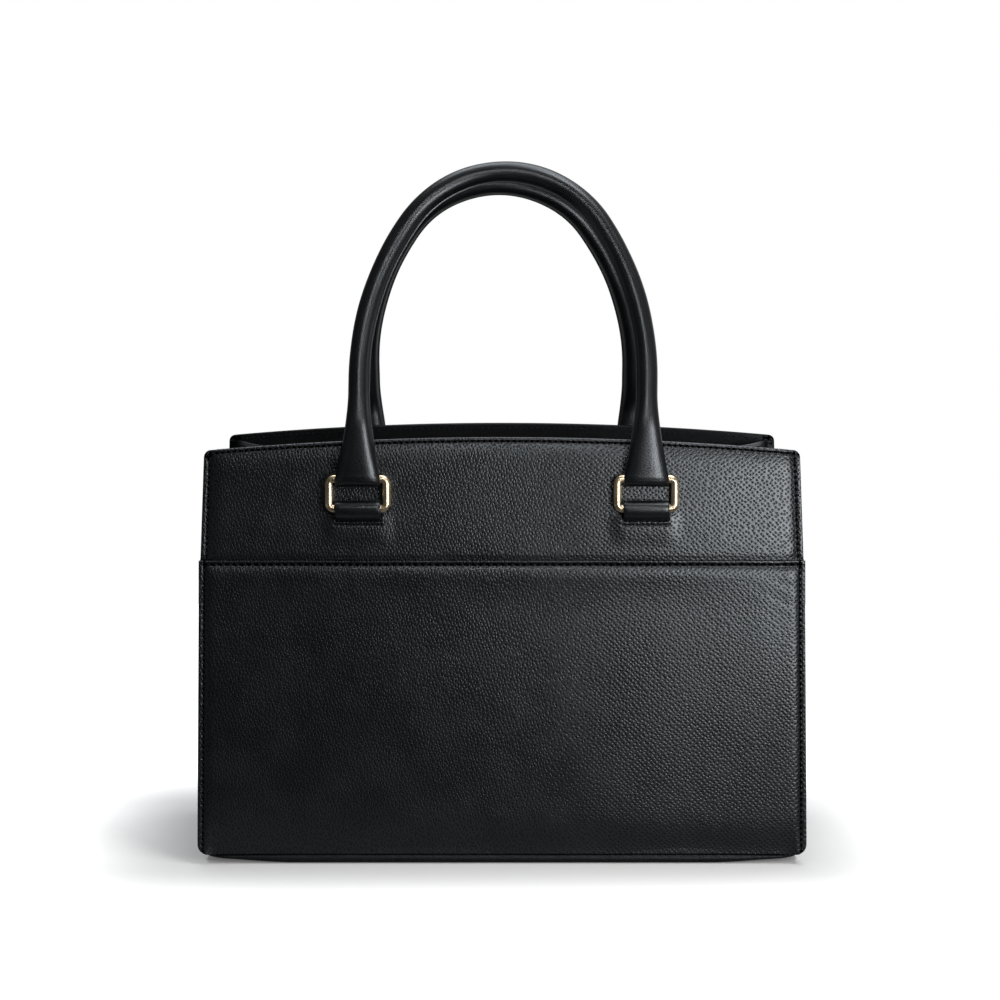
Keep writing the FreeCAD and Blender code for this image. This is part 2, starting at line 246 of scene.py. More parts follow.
finish = dict(
    looseWander=0.0035, looseRandom=0.6, neatWide=2.9 * mm, neatRow=1.26 * mm, neatSlant=3.0,
    neatWander=0.0022, neatRandom=0.45, neatSpan=(-0.01, 0.07), pitSpan=(0.04, 0.45), domeSpan=(0.3, 0.75),
    dome=0.15, pore=0.10, patchSpan=(0.25, 0.75), patchFloor=0.85, holeGap=0.22, holeCore=0.25,
    coolShine=(0.86, 0.925, 1.0, 1), coatIor=1.5, paintedPitDim=0.35, paintedBackShade=0.85,
    threadBlack=(0.0045, 0.0048, 0.0052, 1), gold=(1.0, 0.81, 0.55, 1), steel=(0.55, 0.54, 0.52, 1),
    cloth=(0.035, 0.034, 0.036, 1), board=(0.16, 0.13, 0.10, 1), cord=(0.42, 0.38, 0.31, 1),
)
hide = dict(
    grained=dict(colour=(0.0030, 0.0035, 0.0042, 1), wide=1.95 * mm, row=1.5 * mm, slant=14.0,
                 depth=0.1 * mm, paintedPitShade=0.66, rough=0.315, polish=0.85, coat=0.1, coatRough=0.32,
                 holeDepth=2.5),
    base=dict(colour=(0.0034, 0.0038, 0.0044, 1), wide=1.45 * mm, row=1.2 * mm, slant=9.0, depth=0.06 * mm,
              paintedPitShade=0.6, rough=0.5, polish=0.3, coat=0.1, coatRough=0.4),
    smooth=dict(colour=(0.0030, 0.0034, 0.0039, 1), wide=1.5 * mm, row=0.8 * mm, slant=4.0,
                depth=0.025 * mm, paintedPitShade=0.3, rough=0.3, polish=0.74, edgePaintAndHighlight=(0.04, 0.042, 0.045),
                coat=0.1, coatRough=0.28),
    facing=dict(colour=(0.0024, 0.0026, 0.0030, 1), wide=0.9 * mm, row=0.8 * mm, slant=9.0, depth=0.05 * mm,
                paintedPitShade=0.5, rough=0.5, polish=0.25, coat=0.05, coatRough=0.4),
)
# the lower panels take a darker copy of the grained leather: painted shade
hide["lower"] = dict(hide["grained"], colour=(0.0022, 0.0026, 0.0032, 1), depth=0.09 * mm, paintedPitShade=0.52,
                     holeDepth=2.7)


def newGroup(name, inputs, outputs):
    # an empty shader group with named sockets: (name, kind) pairs
    tree = bpy.data.node_groups.new(name, "ShaderNodeTree")
    for way, sockets in (("INPUT", inputs), ("OUTPUT", outputs)):
        for label, kind in sockets:
            tree.interface.new_socket(label, in_out=way, socket_type="NodeSocket" + kind)
    return tree, tree.nodes.new("NodeGroupInput").outputs, tree.nodes.new("NodeGroupOutput")


def noise(tree, place, scale, detail):
    return addNode(tree, "ShaderNodeTexNoise", {"Vector": place, "Scale": scale, "Detail": detail}).outputs


def pebbleGroup():
    # pebbled grain: pits in a stagger with low pebbles between them; the loose pits lean and wander, the
    # neat ones keep their rows
    tree, given, result = newGroup("pebbleGrain", [
        ("Surface", "Vector"), ("Wide", "Float"), ("Row", "Float"), ("Slant", "Float"), ("Neat", "Float")],
        [("Height", "Float"), ("Crease", "Float")])
    drift = noise(tree, given["Surface"], scale=55.0, detail=2.0)["Color"]
    drift = vector2(tree, "SUBTRACT", drift, (0.5, 0.5, 0.5))

    def turned(vector, angle):
        return addNode(tree, "ShaderNodeVectorRotate", {"Vector": vector, "Angle": angle},
                       rotation_type="Z_AXIS").outputs[0]

    def stagger(wander, slant, wide, row, randomness):
        # distance to a square lattice turned by an eighth, stretched to the pitch across and that of rows
        moved = vector2(tree, "ADD", given["Surface"], scaled(tree, drift, wander))
        stretch = addNode(tree, "ShaderNodeCombineXYZ", {
            "X": math2(tree, "DIVIDE", math.sqrt(2), wide),
            "Y": math2(tree, "DIVIDE", math.sqrt(0.5), row)}).outputs[0]
        spread = vector2(tree, "MULTIPLY", turned(moved, slant), stretch)
        return addNode(tree, "ShaderNodeTexVoronoi", {
            "Vector": turned(spread, math.radians(45)), "Scale": 1.0, "Randomness": randomness},
            voronoi_dimensions="2D", feature="F1").outputs["Distance"]

    loose = stagger(finish["looseWander"], given["Slant"], given["Wide"], given["Row"], finish["looseRandom"])
    neat = stagger(finish["neatWander"], math.radians(finish["neatSlant"]), finish["neatWide"],
                   finish["neatRow"], finish["neatRandom"])
    cells = blend(tree, given["Neat"], loose, neat)
    pits = ramp(tree, cells, *finish["pitSpan"], 1.0, 0.0)
    domes = ramp(tree, cells, *finish["domeSpan"], 0.0, finish["dome"])
    pores = noise(tree, given["Surface"], scale=2600.0, detail=3.0)["Fac"]
    height = timesPlus(tree, "Math", pores, finish["pore"], math2(tree, "SUBTRACT", domes, pits))
    setInputs(tree, result, {"Height": height, "Crease": pits})
    return tree


def toneGroup():
    # slow change of tone over a surface, as in dyed hide
    tree, given, result = newGroup("hideTone", [
        ("Surface", "Vector"), ("Size", "Float"), ("Colour", "Color"), ("Amount", "Float")],
        [("Colour", "Color"), ("Patch", "Float")])
    uneven = noise(tree, given["Surface"], given["Size"], detail=4.0)["Fac"]
    patch = ramp(tree, uneven, *finish["patchSpan"])
    lift = timesPlus(tree, "Math", patch, given["Amount"], finish["patchFloor"])
    setInputs(tree, result, {"Colour": scaled(tree, given["Colour"], lift), "Patch": patch})
    return tree


def needleGroup():
    # a row of needle holes: dips at every pitch along a line that lies a set distance from an edge
    tree, given, result = newGroup("needleHoles", [
        ("Margin", "Float"), ("Along", "Float"), ("Row", "Float"), ("Start", "Float"), ("Pitch", "Float"),
        ("Reach", "Float")],
        [("Hole", "Float")])
    off = math2(tree, "ABSOLUTE", math2(tree, "SUBTRACT", given["Margin"], given["Row"]))
    turns = math2(tree, "DIVIDE", math2(tree, "SUBTRACT", given["Along"], given["Start"]), given["Pitch"])
    wave = math2(tree, "COSINE", math2(tree, "MULTIPLY", turns, 2 * math.pi))
    reach = math2(tree, "MULTIPLY", given["Reach"], ramp(tree, wave, -1.0, 1.0, finish["holeGap"], 1.0))
    hole = ramp(tree, math2(tree, "DIVIDE", off, reach), finish["holeCore"], 1.0, 1.0, 0.0)
    setInputs(tree, result, {"Hole": hole})
    return tree


pebbleGrain = pebbleGroup()
hideTone = toneGroup()
needleHoles = needleGroup()


def newMaterial(name):
    material = bpy.data.materials.new(name)
    tree = emptyTree(material)
    shader = addNode(tree, "ShaderNodeBsdfPrincipled")
    addNode(tree, "ShaderNodeOutputMaterial", {"Surface": shader.outputs[0]})
    return material, tree, shader, addNode(tree, "ShaderNodeTexCoord").outputs


def placeGroup(tree, group, inputs):
    return addNode(tree, "ShaderNodeGroup", inputs, node_tree=group).outputs


def dyedTone(tree, place, colour, size, amount):
    return placeGroup(tree, hideTone, {"Surface": place, "Size": size, "Colour": colour, "Amount": amount})


def bumped(tree, shader, height, distance, strength=1.0):
    bump = addNode(tree, "ShaderNodeBump", {"Height": height, "Distance": distance, "Strength": strength})
    tree.links.new(bump.outputs[0], shader.inputs["Normal"])


def leather(name, look, neat=None, rows=()):
    # finished hide: rounded pebbles under a clear coat that thins out in the creases; the pebbles run from
    # loose at the left to neat at the right unless that is fixed; rows are lines of needle holes. Shade is
    # painted into the pits, creases and needle holes, which lose colour, coat and shine
    material, tree, shader, coords = newMaterial(name)
    place = splitXyz(tree, coords["UV"])
    neatness = ramp(tree, place["X"], *finish["neatSpan"]) if neat is None else neat
    grain = placeGroup(tree, pebbleGrain, {
        "Surface": coords["UV"], "Wide": look["wide"], "Row": look["row"],
        "Slant": math.radians(look["slant"]), "Neat": neatness})
    tone = dyedTone(tree, coords["UV"], look["colour"], size=38.0, amount=0.3)
    height, crease = grain["Height"], math2(tree, "MULTIPLY", grain["Crease"], look["paintedPitShade"])
    if rows:
        margins = splitXyz(tree, addNode(tree, "ShaderNodeUVMap", uv_map="margins").outputs[0])
        for margin, along, row, first, pitch, reach in rows:
            hole = placeGroup(tree, needleHoles, {
                "Margin": margins[margin], "Along": place[along], "Row": row, "Start": first,
                "Pitch": pitch, "Reach": reach})["Hole"]
            height = math2(tree, "SUBTRACT", height, math2(tree, "MULTIPLY", hole, look["holeDepth"]))
            crease = math2(tree, "MAXIMUM", crease, hole)
    # painted shade that a piece carries in its slits, grooves and back face joins that of the creases
    deep = addNode(tree, "ShaderNodeAttribute", attribute_name="dark").outputs["Fac"]
    crease = math2(tree, "MAXIMUM", crease, deep)
    dyed = scaled(tree, tone["Colour"], ramp(tree, crease, 0.0, 1.0, 1.0, finish["paintedPitDim"]))
    # the sewn ridge of a handle is lighter: edge paint, and a painted highlight line along it
    if "edgePaintAndHighlight" in look:
        ridge = addNode(tree, "ShaderNodeAttribute", attribute_name="ridge").outputs["Fac"]
        dyed = timesPlus(tree, "VectorMath", ridge, look["edgePaintAndHighlight"], dyed)
    # painted shade: the creases, needle holes and painted slits count as a black metal and keep no shine
    setInputs(tree, shader, {
        "Metallic": crease, "Base Color": dyed,
        "Roughness": ramp(tree, tone["Patch"], 0.0, 1.0, look["rough"], look["rough"] + 0.05),
        "Coat Weight": ramp(tree, crease, 0.0, 1.0, look["coat"], 0.0),
        "Specular IOR Level": look["polish"], "Specular Tint": finish["coolShine"],
        "Coat Roughness": look["coatRough"], "Coat IOR": finish["coatIor"]})
    bumped(tree, shader, height, look["depth"])
    return material


def metal(name, colour, rough):
    # plated metal: faint fine scratches and slight dulling in patches
    material, tree, shader, coords = newMaterial(name)
    tone = dyedTone(tree, coords["Object"], colour, size=140.0, amount=0.2)
    dull = ramp(tree, tone["Patch"], 0.0, 1.0, rough, rough + 0.07)
    setInputs(tree, shader, {"Metallic": 1.0, "Base Color": tone["Colour"], "Roughness": dull})
    scratches = noise(tree, coords["Object"], scale=3800.0, detail=2.0)["Fac"]
    bumped(tree, shader, scratches, distance=0.001 * mm, strength=0.3)
    return material


def woven(name, colour, threadsPerMetre, rough):
    # plain twill: diagonal ribs crossed by a finer thread wave
    material, tree, shader, coords = newMaterial(name)
    scale = threadsPerMetre / 6.3
    ribs, cross = [addNode(tree, "ShaderNodeTexWave", {
        "Vector": coords["UV"], "Scale": scale, "Distortion": distortion, "Detail": 1.0},
        bands_direction=way).outputs["Fac"] for way, distortion in (("DIAGONAL", 0.6), ("X", 0.4))]
    height = math2(tree, "MULTIPLY", ribs, cross)
    tone = dyedTone(tree, coords["UV"], colour, size=60.0, amount=0.3)
    # the tone follows the weave: painted shade low in the weave, a painted highlight on the ribs
    lit = scaled(tree, tone["Colour"], ramp(tree, height, 0.0, 1.0, 0.55, 1.25))
    setInputs(tree, shader, {"Base Color": lit, "Roughness": rough})
    bumped(tree, shader, height, distance=0.12 * mm)
    return material


def fibrous(name, colour, size, rough, depth):
    # thread, board and cord filler: a fine uneven surface on object coordinates
    material, tree, shader, coords = newMaterial(name)
    tone = dyedTone(tree, coords["Object"], colour, size, amount=0.4)
    setInputs(tree, shader, {"Base Color": tone["Colour"], "Roughness": rough, "Specular IOR Level": 0.2})
    bumped(tree, shader, tone["Patch"], depth)
    return material


sideGrained = leather("sideLeather", hide["grained"], neat=0.5)
baseGrained = leather("baseLeather", hide["base"], neat=0.0)
smooth = leather("smoothLeather", hide["smooth"], neat=0.0)
facingHide = leather("facingLeather", hide["facing"], neat=0.3)
thread = fibrous("blackThread", finish["threadBlack"], size=2400.0, rough=0.42, depth=0.05 * mm)
goldMetal = metal("paleGold", finish["gold"], rough=0.27)
snapMetal = metal("dullSteel", finish["steel"], rough=0.28)
liningCloth = woven("liningTwill", finish["cloth"], threadsPerMetre=1500.0, rough=0.75)
boardFibre = fibrous("fibreBoard", finish["board"], size=900.0, rough=0.85, depth=0.06 * mm)
cordFibre = fibrous("cottonCord", finish["cord"], size=1500.0, rough=0.85, depth=0.1 * mm)
print("finishes ready")


# Meshes from grids

def gridQuads(rows, cols, ringRows=False, ringCols=False):
    # the quads of a grid and the row and column of each corner; a ring joins its last line to its first
    i, j = np.meshgrid(np.arange(rows - 1 + ringRows), np.arange(cols - 1 + ringCols), indexing="ij")
    i, j = i.ravel(), j.ravel()
    corners = [(i, j), (i, j + 1), (i + 1, j + 1), (i + 1, j)]
    return np.stack([(a % rows) * cols + b % cols for a, b in corners], -1), corners


noTris = np.zeros((0, 3), int)
noTriUv = np.zeros((0, 3, 2))


def flatMesh(name, points, quads, quadUv, tris=noTris, triUv=noTriUv):
    # loads whole arrays into a mesh and turns every face outwards by the sign of the enclosed volume
    a, b, c, d = points[quads].transpose(1, 0, 2)
    volume = np.einsum("ij,ij->", a, np.cross(b, c)) + np.einsum("ij,ij->", a, np.cross(c, d))
    if len(tris):
        e, f, g = points[tris].transpose(1, 0, 2)
        volume += np.einsum("ij,ij->", e, np.cross(f, g))
    if volume < 0:
        quads, quadUv, tris, triUv = quads[:, ::-1], quadUv[:, ::-1], tris[:, ::-1], triUv[:, ::-1]
    mesh = bpy.data.meshes.new(name)
    corners = np.concatenate([quads.ravel(), tris.ravel()])
    sizes = np.concatenate([np.full(len(quads), 4), np.full(len(tris), 3)])
    mesh.vertices.add(len(points))
    mesh.vertices.foreach_set("co", points.astype(np.float32).ravel())
    mesh.loops.add(len(corners))
    mesh.loops.foreach_set("vertex_index", corners.astype(np.int32))
    mesh.polygons.add(len(sizes))
    mesh.polygons.foreach_set("loop_start", np.concatenate([[0], np.cumsum(sizes)[:-1]]).astype(np.int32))
    mesh.polygons.foreach_set("use_smooth", np.ones(len(sizes), bool))
    mesh.update(calc_edges=True)
    uvs = np.concatenate([quadUv.reshape(-1, 2), triUv.reshape(-1, 2)])
    mesh.uv_layers.new(name="surface").data.foreach_set("uv", uvs.astype(np.float32).ravel())
    mesh.validate()
    return mesh


def addPiece(name, mesh, material, body, standsFor=()):
    piece = addObject(name, mesh)
    mesh.materials.append(material)
    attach(piece, body)
    if standsFor:
        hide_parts(*standsFor)
    return piece


def sealedSheet(name, front, back, uv, margins=None, dark=None):
    # two grids that share their border line, closed into one thin shell; margins are distances from its
    # edges and dark is the shade painted on the front where it lies in a slit or groove; the back face gets
    # a fixed painted shade
    rows, cols = front.shape[:2]
    border = np.ones((rows, cols), bool)
    border[1:-1, 1:-1] = False
    border = border.ravel()
    own = np.arange(rows * cols)
    other = np.where(border, own, rows * cols + np.cumsum(~border) - 1)
    quads, corners = gridQuads(rows, cols)
    quadUv = np.stack([uv[a, b] for a, b in corners], 1)
    points = np.concatenate([front.reshape(-1, 3), back.reshape(-1, 3)[~border]])
    allQuads = np.concatenate([quads, other[quads][:, ::-1]])
    allUv = np.concatenate([quadUv, quadUv[:, ::-1]])
    mesh = flatMesh(name, points, allQuads, allUv)
    if margins is not None:
        perPoint = np.concatenate([margins.reshape(-1, 2), margins.reshape(-1, 2)[~border]])
        corner = np.zeros(len(mesh.loops), np.int32)
        mesh.loops.foreach_get("vertex_index", corner)
        layer = mesh.uv_layers.new(name="margins")
        layer.data.foreach_set("uv", perPoint[corner].astype(np.float32).ravel())
        mesh.uv_layers.active_index = 0
    if dark is not None:
        # painted shade: the whole back face is darkened, the front as given
        shade = np.full(len(points), finish["paintedBackShade"], np.float32)
        shade[:dark.size] = np.clip(dark, 0, 1).ravel()
        mesh.attributes.new("dark", "FLOAT", "POINT").data.foreach_set("value", shade)
    return mesh


def sweptTube(name, rings, uv, closed=False):
    # sections in order along a path; the two ends get a middle point and a fan, unless the path closes
    rows, cols = rings.shape[:2]
    quads, corners = gridQuads(rows, cols, closed, True)
    quadUv = np.stack([uv[a, b] for a, b in corners], 1)
    points = rings.reshape(-1, 3)
    if closed:
        return flatMesh(name, points, quads, quadUv)
    j = np.arange(cols)
    after = (j + 1) % cols
    first, last = rows * cols, rows * cols + 1
    last0 = (rows - 1) * cols
    tris = np.concatenate([np.stack([np.full(cols, first), after, j], -1),
                           np.stack([np.full(cols, last), last0 + j, last0 + after], -1)])
    triUv = np.concatenate([np.stack([uv[0, j], uv[0, j + 1], uv[0, j]], 1),
                            np.stack([uv[-1, j], uv[-1, j], uv[-1, j + 1]], 1)])
    points = np.concatenate([points, rings[0].mean(0)[None], rings[-1].mean(0)[None]])
    return flatMesh(name, points, quads, quadUv, tris, triUv)


def lanes(low, high, coarse, fine, reach, *places):
    # line places whose spacing narrows from coarse to fine within reach of each named place
    s = np.linspace(low, high, 8001)
    density = 1 / coarse + sum((1 / fine - 1 / coarse) * np.exp(-((s - p) / reach) ** 2) for p in places)
    count = np.concatenate([[0], np.cumsum((density[1:] + density[:-1]) / 2 * np.diff(s))])
    return np.interp(np.linspace(0, count[-1], int(round(count[-1])) + 1), count, s)


def endLanes(low, high, coarse, fine, reach, *places):
    return lanes(low, high, coarse, fine, reach, low, high, *places)


def bell(distance, width):
    return np.exp(-(distance / width) ** 2)


def step(value, low, high):
    # smooth rise from 0 at low to 1 at high
    t = np.clip((value - low) / (high - low), 0, 1)
    return t * t * (3 - 2 * t)


def roundOff(distance, radius):
    # quarter circle: 0 on the edge, 1 from radius inwards
    t = np.clip(distance / radius, 0, 1)
    return np.sqrt(np.maximum(1 - (1 - t) ** 2, 0))


def zeroBorder(share):
    share = share.copy()
    share[[0, -1]] = 0
    share[:, [0, -1]] = 0
    return share


def unit(vectors):
    return vectors / np.linalg.norm(vectors, axis=-1, keepdims=True)


def runAlong(path):
    # length of a path up to each of its points
    return np.concatenate([[0], np.cumsum(np.linalg.norm(np.diff(path, axis=0), axis=1))])


def boxEdge(fromSide, up, low, high):
    # distance to the nearest edge of an upright sheet
    return np.minimum(np.minimum(fromSide, up - low), high - up)


stitch = dict(inMm(pitch=3.0, seamPitch=3.6, tailPitch=2.9, length=2.35, radius=0.33, lift=0.22, dive=0.5,
                   topHole=0.9, seamHole=1.15, sideHole=0.8), slant=7.0)


def stitchRow(name, path, outward, slotName="grained_leather", pitch=stitch["pitch"]):
    # one small bowed stitch per pitch: its ends dive into the leather, its middle stands proud
    run = runAlong(path)
    count = 2 * int(round(run[-1] / pitch / 2))
    at = (np.arange(count) + 0.5) * run[-1] / count

    def sample(values, places):
        return np.stack([np.interp(places, run, values[:, k]) for k in range(3)], -1)

    centre = sample(path, at)
    along = unit(sample(path, at + pitch * 0.3) - sample(path, at - pitch * 0.3))
    out = sample(outward, at)
    out = unit(out - along * np.sum(out * along, 1)[:, None])
    across = np.cross(out, along)
    slant = math.radians(stitch["slant"])
    along, across = (along * math.cos(slant) + across * math.sin(slant),
                     across * math.cos(slant) - along * math.sin(slant))
    sections, sides = 5, 6
    t = np.linspace(-0.96, 0.96, sections)[:, None]
    turn = np.linspace(0, 2 * np.pi, sides, endpoint=False)
    thick = stitch["radius"] * np.sqrt(1 - t ** 4)
    bow = (stitch["lift"] + stitch["dive"]) * (1 - t ** 2) - stitch["dive"]
    base = np.stack(np.broadcast_arrays(
        t * stitch["length"] / 2, thick * np.cos(turn), thick * np.sin(turn) + bow), -1).reshape(-1, 3)
    points = (centre[:, None] + base[None, :, :1] * along[:, None] + base[None, :, 1:2] * across[:, None]
              + base[None, :, 2:] * out[:, None])
    j = np.arange(1, sides - 1)
    fan = np.concatenate([np.stack([0 * j, (j + 1) % sides, j], -1),
                          (sections - 1) * sides + np.stack([0 * j, j, (j + 1) % sides], -1)])
    each = np.arange(count)[:, None, None] * len(base)
    quads = (gridQuads(sections, sides, False, True)[0][None] + each).reshape(-1, 4)
    tris = (fan[None] + each).reshape(-1, 3)
    mesh = flatMesh(name, points.reshape(-1, 3), quads, np.zeros((len(quads), 4, 2)), tris,
                    np.zeros((len(tris), 3, 2)))
    addPiece(name, mesh, thread, "bag")


# Walls: x across, inward from the outer face, up from the bottom edge, all in the leaning wall plane

joints = {j["name"]: np.array(j["pos_m"]) for j in frame["joints"]}
lowerBar, upperBar = joints["front_ring_swing"], joints["front_handle_swing"]
wallLean = math.atan2(upperBar[1] - lowerBar[1], upperBar[2] - lowerBar[2])
panelBox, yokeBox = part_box("front_lower_panel"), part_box("front_yoke")
ringBox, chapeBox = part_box("front_left_ring"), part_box("front_left_chape")
lapStep = 0.8 * mm
footHeight = panelBox[0].z
halfDepth = -panelBox[0].y - lapStep * math.cos(wallLean)
seamUp = (panelBox[1].z - footHeight) / math.cos(wallLean)
crownUp = (yokeBox[1].z - footHeight) / math.cos(wallLean)
ringX = -(ringBox[0].x + ringBox[1].x) / 2
strapHalf = (chapeBox[1].x - chapeBox[0].x) / 2

wall = inMm(
    bottomHalf=154.5, seamHalf=152.5, yokeSeamHalf=151.8, topHalf=149.5, cornerUp=204.9, topCorner=3.5,
    bottomCorner=5.5, leather=1.6, lap=10.0, skived=0.8, boardBack=2.8, facingBack=4.0, liningBack=3.6,
    liningFoot=3.0, facingHeight=30.0, innerInset=6.2, topRow=2.1, sideRow=2.8, seamRow=2.1, groove=0.5,
    seamGroove=0.65, rowEnd=0.4, play=0.05,
)
wallTurn = dict(front=1, back=-1)
sideSigns = (("left", -1), ("right", 1))


def onWall(side, x, inward, up):
    # the front wall leans inward by wallLean; the back wall is the front one turned half round
    x, inward, up = np.broadcast_arrays(x, inward, up)
    y = -halfDepth + inward * math.cos(wallLean) + up * math.sin(wallLean)
    z = footHeight - inward * math.sin(wallLean) + up * math.cos(wallLean)
    return np.stack([wallTurn[side] * x, wallTurn[side] * y, z], -1)


def wallStitches(name, side, x, inward, up, faces=1, **kind):
    # a row on the wall; faces is 1 for its outside and -1 for its inside
    path = onWall(side, x, inward, up)
    outward = faces * np.array([0, -wallTurn[side] * math.cos(wallLean), math.sin(wallLean)])
    stitchRow(name, path, np.tile(outward, (len(path), 1)), **kind)


def wallSheet(name, side, x, up, outer, back, edge, radius, margins=None, dark=None):
    # a shell between two depths in the wall, its rim rounded to a radius
    middle = (outer + back) / 2
    share = zeroBorder(roundOff(edge, radius))
    frontFace, backFace = [onWall(side, x, middle + (face - middle) * share, up) for face in (outer, back)]
    return sealedSheet(name, frontFace, backFace, np.stack([x, up], -1), margins, dark)


crownRise = crownUp - wall["cornerUp"]
crownRadius = (wall["topHalf"] ** 2 + crownRise ** 2) / (2 * crownRise)


def edgeUp(x):
    # height of the arched top edge: a shallow circle through the crown and both corners
    return crownUp - crownRadius + np.sqrt(crownRadius ** 2 - np.asarray(x) ** 2)


def yokeHalf(up):
    share = (up - seamUp) / (wall["cornerUp"] - seamUp)
    return wall["yokeSeamHalf"] + (wall["topHalf"] - wall["yokeSeamHalf"]) * np.clip(share, 0, 1.1)


def panelHalf(up):
    return wall["bottomHalf"] + (wall["seamHalf"] - wall["bottomHalf"]) * up / seamUp


def wallHalf(up):
    return np.where(up < seamUp, panelHalf(up), yokeHalf(up))


def cornerInset(fromEnd, radius):
    # how far a round corner pulls the side in, near the end of the panel
    gap = np.clip(radius - fromEnd, 0, radius)
    return radius - np.sqrt(radius ** 2 - gap ** 2)


def outlineDistance(fromSide, fromEnd, radius):
    # distance to an outline with a round corner
    inCorner = (fromSide < radius) & (fromEnd < radius)
    corner = radius - np.hypot(radius - fromSide, radius - fromEnd)
    return np.maximum(np.where(inCorner, corner, np.minimum(fromSide, fromEnd)), 0)


def roundCornered(a, half, fromEnd, radius):
    # place across, distance from the side and distance from the outline of a sheet with round corners
    inset = cornerInset(fromEnd, radius)
    fromSide = (1 - np.abs(a)) * (half - inset) + inset
    return a * (half - inset), fromSide, outlineDistance(fromSide, fromEnd, radius)


# Yokes: the upper panel of each wall

def rowPitch(low, high, pitch=stitch["pitch"]):
    # stitch length for an even number of stitches between two places
    return (high - low) / (2 * round((high - low) / pitch / 2))


topReach = wall["topHalf"] - wall["sideRow"] - wall["rowEnd"]
seamReach = wall["seamHalf"] - wall["sideRow"] - wall["rowEnd"]
yokeRun = (seamUp + 2 * mm, wall["cornerUp"] - 4 * mm)
lowerRun = (5 * mm, seamUp - 3.5 * mm)
yokeHide = leather("yokeLeather", hide["grained"], rows=(
    ("Y", "X", wall["topRow"], -topReach, rowPitch(-topReach, topReach), stitch["topHole"]),
    ("X", "Y", wall["sideRow"], yokeRun[0], rowPitch(*yokeRun), stitch["sideHole"])))
lowerHidePaintedShade = leather("lowerLeatherPaintedShade", hide["lower"], rows=(
    ("Y", "X", wall["seamRow"], -seamReach, rowPitch(-seamReach, seamReach, stitch["seamPitch"]),
     stitch["seamHole"]),
    ("X", "Y", wall["sideRow"], lowerRun[0], rowPitch(*lowerRun), stitch["sideHole"])))

slit = inMm(low=170.2, high=173.6, depth=0.9, rowDrop=2.3)
yokeForm = inMm(puff=0.30, puffSide=9.0, puffTop=7.0, sideLine=0.75, topLine=0.5, tailLine=0.6, tailLift=0.75,
                tailDrop=8.0, tailSoft=8.0, seamDip=0.4, sideDip=1.1, topDip=0.8, cap=0.55, capLow=2.6,
                capHigh=1.5, rim=0.85, capRim=0.5, wave=0.12)
yokeForm["pull"] = dict(inMm(atX=146, atUp=153, spread=13, length=7.0, depth=0.1), turn=2.3)


def dragFolds(x, up, atX, atUp, spread, turn, length, depth):
    # a few soft diagonal folds that die away round one place
    u = (x - atX) * math.cos(turn) + (up - atUp) * math.sin(turn)
    far = np.hypot(x - atX, up - atUp)
    return depth * np.sin(2 * np.pi * u / length) * bell(far, spread)


def yokeRelief(x, up, fromSide, fromTop):
    # outward height: slight puff inside the stitch rows, a lump over each strap tail, a dent at each slit;
    # and the shade painted into the rows, the slits and the crack above the seam
    form = yokeForm
    puff = form["puff"] * (1 - bell(fromSide, form["puffSide"])) * (1 - bell(fromTop, form["puffTop"]))
    sideLine = bell(fromSide - wall["sideRow"], form["sideLine"]) * step(fromTop, 1.2 * mm, 2.4 * mm)
    topLine = bell(fromTop - wall["topRow"], form["topLine"]) * step(fromSide, 2 * mm, 3.4 * mm)
    overTail = np.abs(np.abs(x) - ringX)
    soft = form["tailSoft"]
    foot = slit["low"] - form["tailDrop"]
    tail = (step(overTail, strapHalf + soft, strapHalf - 1.2 * mm) * step(up, foot - soft, foot + 0.5 * soft)
            * step(up, slit["high"] + 2.5 * mm, slit["low"] + 0.5 * mm))
    tailRow = (bell(up - slit["low"] + slit["rowDrop"], form["tailLine"])
               * step(overTail, strapHalf + 1 * mm, strapHalf))
    opening = (step(overTail, strapHalf + 0.4 * mm, strapHalf - 0.6 * mm)
               * step(up, slit["low"] - 1.0 * mm, slit["low"] + 0.4 * mm)
               * step(up, slit["high"] + 0.8 * mm, slit["high"] - 0.4 * mm))
    slow = form["wave"] * np.sin(x / (21 * mm) + 1.1) * np.sin(up / (17 * mm))
    slow = slow * step(fromSide, 0, 20 * mm) * step(fromTop, 0, 12 * mm)
    dip = form["seamDip"] * bell(up - seamUp - 0.5 * mm, 1.3 * mm)
    crack = bell(up - seamUp - 0.1 * mm, 0.5 * mm)
    relief = (puff + form["tailLift"] * tail + dragFolds(x, up, **form["pull"]) + slow - dip
              - wall["groove"] * (np.maximum(sideLine, topLine) + 0.8 * tailRow) - slit["depth"] * opening)
    return relief, np.maximum.reduce([0.45 * sideLine, 0.9 * opening, 0.8 * tailRow, 0.4 * crack])


def edgeRoll(fromSide, fromTop):
    # the yoke turns back a little towards its side and top edges
    return (yokeForm["sideDip"] * bell(np.maximum(fromSide - 1.5 * mm, 0), 3.8 * mm)
            + yokeForm["topDip"] * bell(np.maximum(fromTop - 1 * mm, 0), 4.6 * mm))


def mergedLanes(first, second):
    # the lines of both sets, less those that nearly coincide
    both = np.union1d(first, second)
    both = both[np.concatenate([[True], np.diff(both) > 0.05 * mm])]
    both[-1] = first[-1]
    return both


